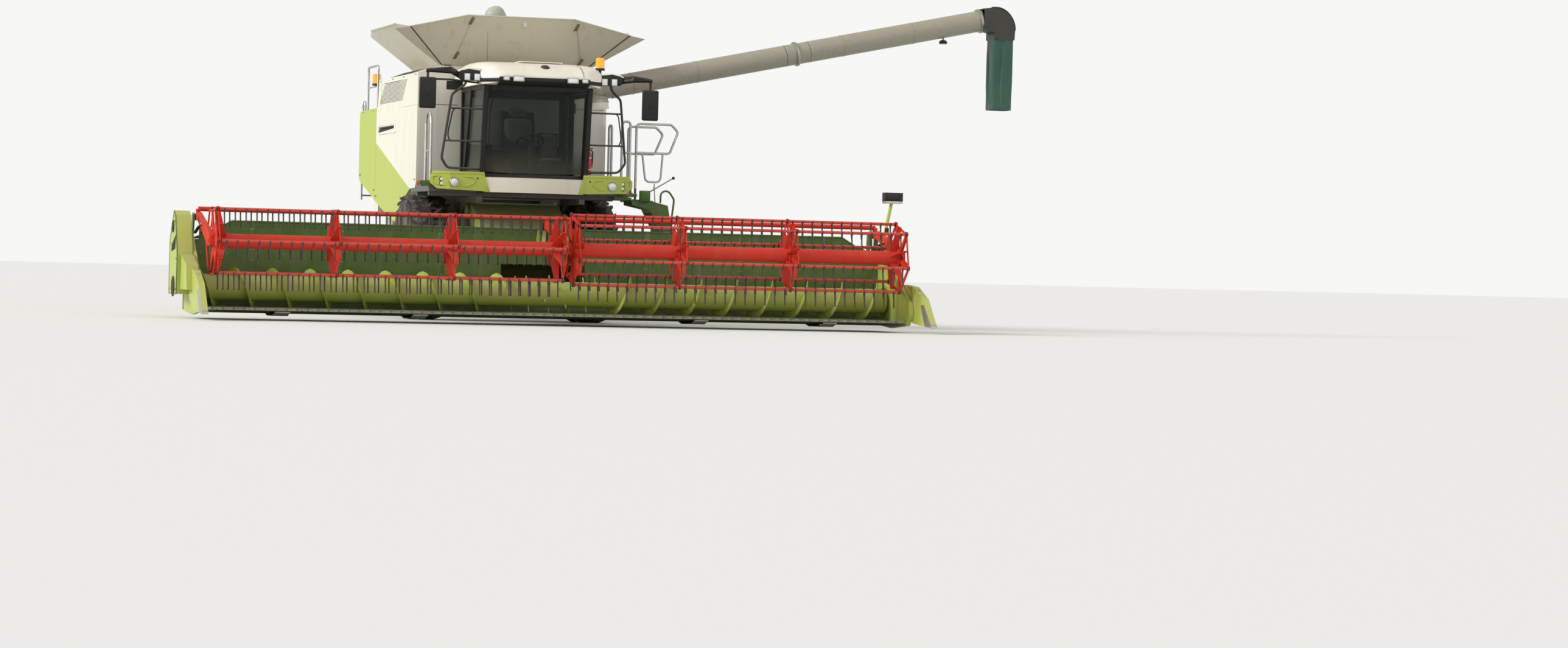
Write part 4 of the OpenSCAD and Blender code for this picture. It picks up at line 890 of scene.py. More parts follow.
class HARVESTER_OT_lamps(Operator):
    """Roof lamps, wings with mirror arm skins, fascia lamps, beacons and tail lamps"""

    bl_idname = "harvester.lamps"
    bl_label = "Lamps"

    def execute(self, context):
        # roof row: a bezel round each lens
        lenses, bezels, hoods = [], [], []
        z = 3695
        for x, w, h in ((-610, 90, 56), (-420, 165, 78), (420, 165, 78), (610, 90, 56)):
            lenses.append(brick(x - w / 2 + 7, x + w / 2 - 7, -2506, -2490, z - h / 2 + 7,
                                z + h / 2 - 7, 4))
            for x0, x1, z0, z1 in (
                (-w / 2 - 3, w / 2 + 3, h / 2 - 5, h / 2 + 3),
                (-w / 2 - 3, w / 2 + 3, -h / 2 - 3, -h / 2 + 5),
                (-w / 2 - 3, -w / 2 + 5, -h / 2, h / 2), (w / 2 - 5, w / 2 + 3, -h / 2, h / 2),
            ):
                bezels.append(brick(x + x0, x + x1, -2509, -2486, z + z0, z + z1, 1.5))
        # black wings beside the roof, with two square lamps each and arm skins to the mirrors
        for s in BOTH:
            wing = sided(s, [(936, 3772), (975, 3812), (1240, 3806), (1285, 3780), (1285, 3690),
                             (1235, 3656), (936, 3646)])
            hoods.append(slab(wing, "y", -2194, 46, 7))
            corner = sided(s, [(690, -2436), (946, -2190), (946, -2150), (690, -2396)])
            hoods.append(slab(corner, "z", 3640, 64, 5))
            for x in (1147, 994):
                lenses.append(brick(s * (x - 38), s * (x + 38), -2204, -2190, 3662, 3752, 8))
                bezels.append(brick(s * (x - 44), s * (x + 44), -2198, -2190, 3656, 3758, 4))
            out = 1780 if s < 0 else 1680
            drop = 0 if s < 0 else 30
            hoods.append(fairing([
                (s * 1200, -2140, 26, 3690, 3790), (s * 1290, -2152, 26, 3692, 3800),
                (s * 1415, -2288, 25, 3738 - drop, 3846 - drop),
                (s * (out - 40), -2328, 24, 3748 - drop, 3810 - drop),
                (s * (out + 26), -2334, 20, 3742 - drop, 3796 - drop),
            ]))
        # fascia: one large lamp on each side
        for s in BOTH:
            spot = (s * 1240, -1864, 2125), (0, -1, 0), 36
            lenses.append(turned(((0.5, 20), (36, 17), (56, 6), (57, -8)), *spot))
            bezels.append(turned(((58, -6), (58, 10), (66, 13), (70, 8), (70, -30)), *spot))
        piece("lamp_lenses", lenses, "clear_lens")
        piece("lamp_bezels", bezels, "silver")
        # beacons: amber domes on black feet
        domes, feet = [], []
        profile = [(67, 34), (69, 60), (69, 140), (68, 171), (58, 184), (34, 192), (0.5, 194)]
        for place in ((950, -2050, 3890), (-1440, 3480, 3794)):
            domes.append(turned(profile, place, (0, 0, 1), 32))
            feet.append(turned(((74, 0), (74, 24), (70, 33), (66, 35)), place, (0, 0, 1), 32))
        piece("beacon_domes", domes, "amber")
        piece("beacon_feet", feet, "black")
        # black brow below the roof's lip
        brow = [(-2428, 3716), (-2434, 3716), (-2434, 3660), (-2382, 3618), (-2232, 3597),
                (-2232, 3603), (-2376, 3628), (-2428, 3667)]
        hoods.append(slab(brow, "x", -704, 1408, 2))
        piece("lamp_hoods", hoods, "black_gloss")
        # mouldings over the lamp pods, pale as the roof
        tops = []
        for s in BOTH:
            outline = sided(s, [(950, 3806), (1120, 3826), (1240, 3800), (1284, 3776), (1294, 3790),
                                (1240, 3824), (1120, 3846), (940, 3840)])
            tops.append(slab(outline, "y", -2198, 242, 3))
        piece("pod_tops", tops, "roof")
        # tail lamps
        reds, ambers, cases = [], [], []
        for s in BOTH:
            x = s * 1240
            cases.append(brick(x - 130, x + 130, 4538, 4556, 2340, 2470, 8))
            reds.append(brick(x - s * 118 - 50, x - s * 118 + 118, 4552, 4566, 2352, 2458, 6))
            ambers.append(brick(x + s * 66 - 50, x + s * 66 + 50, 4552, 4566, 2352, 2458, 6))
        piece("tail_cases", cases, "black")
        piece("tail_reds", reds, "signal_red")
        piece("tail_ambers", ambers, "amber")
        return {"FINISHED"}


class HARVESTER_OT_fascia(Operator):
    """Lamp frames, lips and marker plates of the fascias below the windscreen"""

    bl_idname = "harvester.fascia"
    bl_label = "Fascias"

    def execute(self, context):
        frames, small, plugs = [], [], []

        def fascia_y(x):
            """The fascia's front face at a distance from the middle."""
            return -1885 + (x - 770) * 0.0755 if x < 1300 else -1845 + (x - 1300) * 0.3966

        for s in BOTH:
            # moulded frame round the lamp group, proud of the fascia
            points = [(1040, 2060), (1400, 2074), (1530, 2110), (1545, 2180), (1500, 2212),
                      (1040, 2206), (960, 2196), (930, 2130)]
            ring = [Vector((s * x, fascia_y(x) - 3, z)) for x, z in points]
            ring = curve_through([at(*p) for p in ring + ring[:1]], 6)
            frames.append(tube_mesh("frame", ring, 0.008, 8))
            for x, z in ((1420, 2165), (1420, 2098)):
                y = fascia_y(x) + 4
                small.append(turned(((0.5, 14), (22, 11), (28, 3), (28, -14)), (s * x, y, z),
                                    (0, -1, 0), 24))
                plugs.append(turned(((29, -14), (29, 6), (35, 8), (38, 2), (38, -14)),
                                    (s * x, y, z), (0, -1, 0), 24))
            plugs.append(turned(((0.5, 10), (10, 9), (14, 2), (14, -10)),
                                (s * 880, fascia_y(880) + 2, 2188), (0, -1, 0), 16))
        for s in BOTH:
            # lip along the top and the slanted end over the middle panel
            lip = sided(s, [(772, -1889), (1300, -1849), (1540, -1755), (1540, -1700),
                            (1290, -1790), (860, -1866), (772, -1866)])
            frames.append(slab(lip, "z", 2240, 46, 9))
            frames.append(slab(sided(s, [(690, 1984), (774, 1984), (774, 2214), (764, 2214)]), "y",
                               -1990 + 96, 6, 2))
        piece("fascia_frames", frames, "lime")
        plates = [slab([(-1740, 2138), (-1586, 2143), (-1586, 2056), (-1724, 2050)], "y",
                       -1722, 10, 3),
                  slab([(1420, 2046), (1600, 2046), (1600, 1976), (1436, 1972)], "y", -1734, 10, 3)]
        piece("marker_plates", plates, "header")
        marks = [turned(((0.5, 20), (26, 16), (36, 4), (37, -4)), place, (0, -1, 0), 28)
                 for place in ((-1767, -1726, 2100), (1506, -1738, 2030))]
        piece("marker_lamps", marks, "amber_dull")
        piece("fascia_lamps", small, "clear_lens")
        piece("fascia_bezels", plugs, "black")
        return {"FINISHED"}


class HARVESTER_OT_cab_trim(Operator):
    """Roof crown and hatch, wiper, seals, rail loops, extinguisher and seats of the cab"""

    bl_idname = "harvester.cab_trim"
    bl_label = "Cab trim"

    def execute(self, context):
        black, red, steel, pale = [], [], [], []
        lean, bow = math.tan(math.radians(9)), 2600

        def screen_y(x, z):
            """The windscreen's outer face, which leans forward and is bowed."""
            drop = bow - math.sqrt(bow**2 - min(abs(x), 780) ** 2)
            return -1985 + 50 - (z - 2270) * lean + drop - 3

        # seals along the windscreen's edges
        for s in BOTH:
            edge = [(s * 776, screen_y(776, z) - 2, z) for z in range(2225, 3560, 110)]
            black.append(hose("seal", edge, 20, 8, 2))
        for z in (2216, 3545):
            row = [(x, screen_y(x, z) - 2, z) for x in range(-776, 777, 97)]
            black.append(hose("seal", row, 22, 8, 2))
        # wiper parked upright beside the right post, with its motor cover
        foot = (-690, screen_y(690, 3560) - 20, 3560)
        black.append(brick(-745, -635, foot[1] - 26, foot[1] + 26, 3520, 3600, 12))
        arm = [(x, screen_y(abs(x), z) - 30, z) for x,
               z in ((-690, 3530), (-722, 3300), (-738, 3050))]
        black.append(hose("arm", arm, 13, 8))
        blade = [(-736, screen_y(736, z) - 14, z) for z in (3360, 3160, 2960, 2760, 2640)]
        black.append(hose("blade", blade, 22, 6))
        # roof crown, which bows up from the lamp row, with a seam and the camera head on its slope
        rings = []
        crown = (
            (-2436, 640, 3712, 3734), (-2430, 692, 3704, 3764), (-2392, 742, 3700, 3812),
            (-2300, 836, 3698, 3868), (-2185, 948, 3698, 3916), (-1950, 962, 3698, 3960),
            (-1600, 966, 3698, 3984), (-1000, 966, 3698, 3988), (-560, 960, 3698, 3972),
            (-400, 950, 3700, 3942), (-376, 930, 3706, 3906),
        )
        for y, w, low, top in crown:
            tall = top - low
            half = [
                (w, low), (w + 6, low + tall * 0.30), (w - 8, low + tall * 0.52),
                (w - 44, low + tall * 0.74), (w - 110, low + tall * 0.93),
                (w * 0.72, low + tall * 0.985), (w * 0.36, low + tall * 0.997),
            ]
            ring = half + [(0, top)] + sided(-1, half[::-1])
            rings.append([(x, y, z) for x, z in ring])
        pale.append(loft(rings))
        seam = [(-2434, 3742), (-2394, 3806), (-2302, 3864), (-2190, 3912), (-1950, 3958)]
        black.append(hose("seam", [(606, y, z) for y, z in seam], 7, 6, 3))
        head = (42, -2250, 3886), (0, -0.45, 0.9), 28
        black.append(turned(((66, -10), (66, 8), (58, 20), (34, 30), (0.5, 33)), *head))
        steel.append(turned(((60, -4), (60, 12), (54, 18)), *head))
        pale.append(brick(-260, 420, -1840, -1100, 3980, 3996, 8))
        # leaning post behind the right side window's first pane
        black.append(rod((-846, -788, 2330), (-846, -1150, 3570), 46, 12, 6))
        # loops that join the bars inside the bowed rails
        for s in BOTH:
            loop = sided(s, [
                (900, -1948, 3240), (1210, -1914, 3240), (1290, -1906, 3205), (1318, -1890, 3080),
                (1352, -1868, 2880), (1338, -1862, 2785), (1270, -1864, 2752), (900, -1888, 2750),
            ])
            black.append(hose("loop", loop, 20, 8, 5))
        # extinguisher in its bracket beside the left post
        foot, up = (905, -1600, 2300), (0, 0, 1)
        bottle = ((58, 0), (62, 8), (62, 300), (52, 340), (24, 362), (22, 380), (0.5, 381))
        red.append(turned(bottle, foot, up, 28))
        steel.append(turned(((16, 378), (16, 402), (24, 404), (24, 412), (0.5, 413)), foot, up, 16))
        black.append(brick(888, 980, -1610, -1590, 2700, 2716, 4))
        nozzle = [(915, -1602, 2690), (972, -1612, 2660), (976, -1612, 2560), (968, -1610, 2420)]
        black.append(hose("nozzle", nozzle, 20, 8))
        for z in (2380, 2560):
            steel.append(turned(((64.5, -9), (64.5, 9), (63, 9.4)), (905, -1600, z), up, 28))
            black.append(brick(851, 866, -1630, -1570, z - 30, z + 30, 4))
        # rain gutters over the side windows, and the grab handle
        for s in BOTH:
            gutter = sided(s, [(862, -2210, 3612), (864, -1900, 3616), (864, -480, 3616)])
            black.append(hose("gutter", gutter, 18, 8, 3))
        grab = [(846, -1690, 2450), (884, -1700, 2470), (890, -1735, 2780), (886, -1770, 3060),
                (842, -1778, 3080)]
        black.append(hose("grab", grab, 24, 10))
        # antenna on the roof
        black.append(turned(((20, 0), (18, 26), (5, 40), (3, 60), (2, 520), (0.5, 522)),
                            (-560, -900, 3972), (0, 0, 1), 12))
        piece("cab_trim_black", black, "black")
        piece("extinguisher", red, "signal")
        piece("extinguisher_fittings", steel, "silver")
        piece("roof_hatch", pale, "roof")
        # seat cushions, seen through the glass
        seat = [brick(-245, 245, -1305, -800, 2410, 2520, 45),
                brick(-235, 235, -760, -620, 2540, 3170, 55),
                brick(-150, 150, -700, -600, 3180, 3330, 45),
                brick(340, 630, -1050, -700, 2490, 2560, 30),
                brick(345, 625, -735, -640, 2570, 2940, 35)]
        for one in seat:
            with Shaping(one):
                bpy.ops.mesh.select_all(action="SELECT")
                bpy.ops.mesh.vertices_smooth(factor=0.4, repeat=2)
        cushions = [piece("cushion_%d" % i, [one], "seat", angle=60) for i, one in enumerate(seat)]
        return {"FINISHED"}


class HARVESTER_OT_flanks(Operator):
    """Perforated field, air slots, catches and hinges of the side panels"""

    bl_idname = "harvester.flanks"
    bl_label = "Flanks"

    def execute(self, context):
        dark, lips, steel = [], [], []
        for s in BOTH:
            x = s * 1510
            # blades in the air slot, with a dark back
            inner, thick = (x - 34, 26) if s > 0 else (x, 32)
            for z in (3032, 3046, 3060):
                dark.append(slab([(1566, z), (2794, z), (2794, z + 6), (1566, z + 6)], "x",
                                 inner, thick, 1))
            # catches and hinge barrels along the panels
            for y, z in ((-180, 2180), (900, 1900), (2950, 1960), (3150, 2060), (4380, 2330)):
                dark.append(brick(x - 3, x + 7 * s, y - 32, y + 32, z - 14, z + 14, 4))
            for y in (-120, 820, 1700, 2700, 3350, 4200):
                z = 3370 if s > 0 or y > 2850 else 3822
                steel.append(rod((x + s * 7, y - 55, z), (x + s * 7, y + 55, z), 18, 12, 3))
        # perforated field of the right flank: slanted rows of small dark slots
        hole = slab([(-17, -3.5), (17, -3.5), (17, 3.5), (-17, 3.5)], "x", 0, 3, 1)
        spots = []
        for j in range(17):
            z = 3462 + j * 19.4
            ahead, behind = 911 - (z - 3454) * 1.16, 2790 - (z - 3440) * 1.2
            n = int((behind - ahead) / 50)
            for i in range(n + 1):
                y = ahead + i * (behind - ahead) / n + (12 if j % 2 else 0)
                inner = (z - 3440) * 0.176
                out = -1508.5 if 1075 + inner < y < 2665 - inner * 0.7 else -1517.5
                spots.append(moved(out, y, z))
        dark += copies(hole, spots)
        # pressed frame round the air slot, and the scoop below it
        for s in BOTH:
            ring = [(1430, 3098), (2120, 3100), (2830, 3100), (2850, 3040), (2830, 2972),
                    (2120, 2966), (1430, 2962), (1412, 3030), (1430, 3098)]
            ring = [(s * 1516, y, z) for y, z in ring]
            lips.append(hose("lip", ring, 16, 8, 3))
            dark.append(slab([(1600, 3029), (2790, 3029), (2790, 2992)], "x",
                             s * 1517 - (2 if s < 0 else 0), 2))
        # vent slots of the sloped shoulder above it
        for i in range(4):
            y0 = 620 + i * 440
            for k in range(6):
                t = (k + 1) / 7
                dark.append(brick(-1475 + t * 290, -1468 + t * 290, y0, y0 + 380, 3858 + t * 108,
                                  3864 + t * 108, 2))
        # cross seam of the tank's front wall
        for s in BOTH:
            dark.append(brick(s * 870, s * 1470, -302.5, -300, 3354, 3361, 0.5))
        piece("flank_lips", lips, "cream")
        piece("flank_fittings", dark, "black")
        piece("flank_hinges", steel, "silver")
        return {"FINISHED"}


class HARVESTER_OT_tank_covers(Operator):
    """Hinges, stays, painted shadow lines, rims and flaps of the raised covers, and the filling
    auger
    """

    bl_idname = "harvester.tank_covers"
    bl_label = "Tank covers"

    def execute(self, context):
        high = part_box("tank_extension")[1]
        black, steel, pale, olive = [], [], [], []
        y0, z0 = COVER_Y, COVER_Z
        rise = high[2] * 1000 - z0
        y1, z1 = y0 - COVER_LEAN - 2, z0 + rise

        def leaf(x, f):
            """A place on the front leaf's face towards the cab, f of the way up."""
            return (x, y0 - f * COVER_LEAN - 4, z0 + f * rise)

        # hinges along the foot, and folding stays with their brackets
        for x in (-1050, -620, -180, 260, 700, 1060):
            olive.append(rod((x - 60, y0 - 14, z0 + 6), (x + 60, y0 - 14, z0 + 6), 24, 12, 3))
        for top, foot in (((-790, 0.88), (-940, 0.20)), ((895, 0.84), (1055, 0.16))):
            p, q = leaf(*top), leaf(*foot)
            steel.append(rod((p[0], p[1] - 12, p[2]), (q[0], q[1] - 12, q[2]), 7, 8))
            for (x, f), lean in ((top, 22), (foot, 26)):
                c, d = leaf(x - lean, f - 0.075), leaf(x + lean, f + 0.075)
                olive.append(rod((c[0], c[1] - 8, c[2]), (d[0], d[1] - 8, d[2]), 46, 6, 5))
                steel.append(turned(((16, 0), (16, 8), (11, 12), (0.5, 13)),
                                    (c[0], c[1] - 30, c[2]), (0, -0.82, 0.57), 14))
        # black lines where the gussets lap the side leaves, painted shadow lines along the gussets'
        # outer edges, and the rims of the side leaves
        for s in BOTH:
            seal = sided(s, [(1137, y0 - 3, 3974), (1444, y0 - 256, 4250), (1752, y0 - 513, 4526)])
            black.append(hose("seal", seal, 18, 8, 2))
            pale.append(rod((s * 1872, -160, 4594), (s * 1872, 1820, 4594), 22, 10, 3))
        # folded edges of the front leaf
        pale.append(rod((-848, y1, z1), (848, y1, z1), 20, 10, 3))
        for s in BOTH:
            pale.append(rod((s * 850, y1, z1), (s * 1750, y0 - 512, 4525), 18, 10, 3))
            # flap of the side leaf that stands out beyond the gusset
            flap = (((1130, 3974), (1196, 3984), -274), ((1436, 4250), (1640, 4258), -528),
                    ((1744, 4524), (1994, 4478), -784))
            pale.append(loft([[(s * x, y + d, z) for (x, z), d in ((p, 0), (q, 0), (q, 9), (p, 9))]
                              for p, q, y in flap]))
        # latch plate on the front leaf
        x, y, z = leaf(60, 0.86)
        latch = [(x - 34, z - 40), (x + 34, z - 40), (x + 26, z + 34), (x - 26, z + 34)]
        steel.append(slab(latch, "y", y - 16, 8, 2))
        # the black lines along the gussets are painted shadow lines
        piece("cover_painted_shadow_lines", black, "black")
        piece("cover_stays", steel, "silver")
        # the rims and flaps take the covers' darkened cream, which is painted shade
        piece("cover_rims", pale, "cover")
        piece("cover_brackets", olive, "olive")
        # filling auger, which leans up out of the tank and ends in a rounded mouth
        tube = hose("riser", [(420, 900, 2500), (150, 850, 3700), (-10, 815, 4560),
                              (-60, 805, 4800)], 300, 28, 6)
        cap = turned(((152, -330), (168, -300), (170, -20), (158, 60), (120, 120),
                      (60, 152), (0.5, 160)),
                     (-66, 800, 4846), (-0.42, -0.1, 1), 36)
        collar = turned(((156, 0), (172, 4), (172, 34), (156, 38)), (-36, 810, 4690),
                        (-0.2, -0.04, 1), 36)
        piece("filling_auger", [tube, cap, collar], "housing")
        return {"FINISHED"}


class HARVESTER_OT_unloading_tube(Operator):
    """Flanges, bolts, seams, elbow bands and lamp of the unloading tube"""

    bl_idname = "harvester.unloading_tube"
    bl_label = "Unloading tube"

    def execute(self, context):
        way = Vector((math.cos(TUBE_RISE), 0, math.sin(TUBE_RISE)))
        foot = Vector((TURRET_X, 0, TURRET_Z))
        length = TUBE_OUT / math.cos(TUBE_RISE)

        def on(f, out=0.0):
            """A place on the tube's axis, f of the way out."""
            return foot + way * (f * length + out)

        heads, rings, dark = [], [], []
        side, up = Vector((0, 1, 0)), Vector((-math.sin(TUBE_RISE), 0, math.cos(TUBE_RISE)))
        for f in FLANGES:
            for k in range(12):
                a = math.tau * (k + 0.5) / 12
                p = on(f, 36) + (side * math.cos(a) + up * math.sin(a)) * 181
                heads.append(towards(way, p))
        made = copies(bolt(0.018), heads)
        for f in FLANGES:
            made.append(turned(((188, -22), (197, -18), (197, 18), (188, 22)), on(f, 18), way, 48))
        piece("tube_bolts", made, "steel", "unloader")
        for f in (0.474, 0.534):
            dark.append(turned(((169, -4), (171.5, -3), (171.5, 3), (169, 4)), on(f), way, 40))
        # rolled seams and a wear band
        for f in (0.09, 0.25, 0.62, 0.80):
            rings.append(turned(((169, -9), (175, -6), (175, 6), (169, 9)), on(f), way, 40))
        rings.append(turned(((171, -60), (182, -54), (182, 54), (171, 60)), on(0.045), way, 40))
        # the seams and wear band take the tube's darkened paint, which is painted shade
        piece("tube_seams", rings, "tube", "unloader")
        # edge bands of the black elbow, and the lamp below the tube
        end = Vector((TURRET_X + TUBE_OUT, 0, TURRET_Z + TUBE_OUT * math.tan(TUBE_RISE)))
        profile = []
        for k in range(9):
            a = math.radians(100 - k * 12.5)
            profile.append((end.x + 60 + 363 * math.cos(a) * 0.99, end.z - 166 + 363 * math.sin(a)))
        skins = [hose("band", [(x, y, z) for x, z in profile], 14, 8, 3) for y in (-202, 202)]
        dark.append(join("bands", skins))
        x0, z0 = end.x - 760, end.z - 430
        dark.append(turned(((66, 0), (66, 30), (52, 48), (30, 58), (0.5, 60)), (x0, 0, z0 + 6),
                           (0, 0, 1), 28))
        piece("tube_trim", dark, "black", "unloader")
        lens = turned(((58, -6), (58, 2), (40, 9), (0.5, 12)), (x0, 0, z0), (0, 0, -1), 28)
        piece("tube_lamp", [lens], "clear_lens", "unloader")
        # steel ring round the turret that the tube swings on
        turret = [turned(((218, 0), (228, 6), (228, 26), (218, 32)), (TURRET_X, 0, 3466),
                         (-0.1, 0.1029, 0.9897), 48)]
        piece("turret_ring", turret, "steel")
        return {"FINISHED"}


class HARVESTER_OT_access(Operator):
    """Treads, boxes, plates and the catch rod of the walkways and ladder"""

    bl_idname = "harvester.access"
    bl_label = "Access"

    def execute(self, context):
        # studs of the walkways' tread plate
        stud = turned(((13, 0), (12, 3), (8, 4.5), (0.5, 5)), (0, 0, 0), (0, 0, 1), 8)
        spots = []
        for s in BOTH:
            for j in range(23):
                for i in range(16):
                    x, y = s * (905 + i * 44 + (22 if j % 2 else 0)), -1640 + j * 58
                    if abs(x) < 1572:
                        spots.append(moved(x, y, 2029.5))
        piece("tread_studs", copies(stud, spots), "frame_grey")
        # grip strips of the ladder's treads
        grips = []
        for i in range(5):
            z = 1740 - 270 * i
            x0, x1 = (2000, 2250) if i == 0 else (2100, 2300)
            for x in range(x0 + 20, x1 - 10, 40):
                grips.append(brick(x, x + 14, -1482, -1018, z - 2, z + 8, 2))
        piece("ladder_grips", grips, "silver", "ladder")
        # boxes and their plates on the landing
        box = [brick(1640, 1700, -1620, -1500, 1985, 2030, 6)]
        green = [brick(1380, 1560, -1720, -1696, 1988, 2150, 8),
                 brick(1400, 1540, -1728, -1716, 2004, 2134, 5)]
        green.append(slab([(1310, 1930), (1588, 1930), (1588, 1968), (1310, 1974)], "y",
                          -1712, 22, 4))
        piece("landing_boxes", green + box, "header")
        # slanted catch rod with its strut and knob
        foot, tip = (1925, -1514, 2068), (2304, -1514, 2294)
        made = [rod(foot, tip, 20, 10, 4), rod((1998, -1514, 2200), (2016, -1514, 1900), 18, 10, 4),
                brick(1984, 2012, -1526, -1502, 2090, 2140, 4)]
        piece("catch_rod", made, "steel", "ladder")
        knob = turned(((0.5, -24), (17, -18), (25, 0), (17, 18), (0.5, 24)), tip,
                      Vector(tip) - Vector(foot), 20)
        piece("catch_knob", [knob], "black", "ladder")
        cheek = [(1935, 1822), (2215, 1866), (2284, 1530), (2110, 1520)]
        green = [slab(cheek, "y", y, 4, 1) for y in (-1502, -1012)]
        # box at the top of the front plate that holds the catch rod
        green += [brick(1762, 1930, -1560, -1501, 1915, 2086, 8),
                  brick(1778, 1914, -1566, -1558, 1931, 2070, 4)]
        piece("ladder_plates", green, "header", "ladder")
        # document board on the right bowed rail
        board = [brick(-1418, -1165, -1984, -1966, 3514, 3647, 10),
                 brick(-1300, -1262, -1968, -1940, 3540, 3600, 3)]
        piece("rail_board", board, "black")
        caps = []
        for s in BOTH:
            for x in (1500, 1100):
                caps += bolts([(s * x, -1692, 2052)], (0, -1, 0), 16)
        piece("platform_bolts", caps, "silver")
        return {"FINISHED"}


class HARVESTER_OT_wheels(Operator):
    """Wheel nuts and hub caps"""

    bl_idname = "harvester.wheels"
    bl_label = "Wheel fittings"

    def execute(self, context):
        for name in ("front_left", "front_right", "rear_left", "rear_right"):
            s = 1 if name.endswith("left") else -1
            low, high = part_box("tyre_" + name)
            middle = (Vector(low) + Vector(high)) / 2 - AXLE
            front = name.startswith("front")
            y, z = (0, middle.z * 1000) if front else (middle.y * 1000, middle.z * 1000)
            hub, bolt_ring = (150, 189) if front else (95, 127)
            disc = middle.x * 1000 + s * (80 if front else 50)
            hub_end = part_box("front_axle" if front else "knuckle_" + name[5:])
            hub_end = (hub_end[0] if s < 0 else hub_end[1])[0] * 1000 - AXLE.x * 1000
            end = max(s * disc, s * hub_end) * s
            way = (s, 0, 0)
            nuts = bolts(ring_places((disc, y, z), bolt_ring, 12 if front else 10), way, 26)
            cap = turned(((hub * 0.9, 1), (hub * 0.9, 14), (hub * 0.8, 26), (hub * 0.46, 40),
                          (hub * 0.4, 44),
                          (hub * 0.36, 40), (0.5, 38)), (end, y, z), way, 36)
            piece("nuts_" + name, nuts, "steel", "wheel_" + name)
            piece("hub_cap_" + name, [cap], "cast", "wheel_" + name)
        return {"FINISHED"}


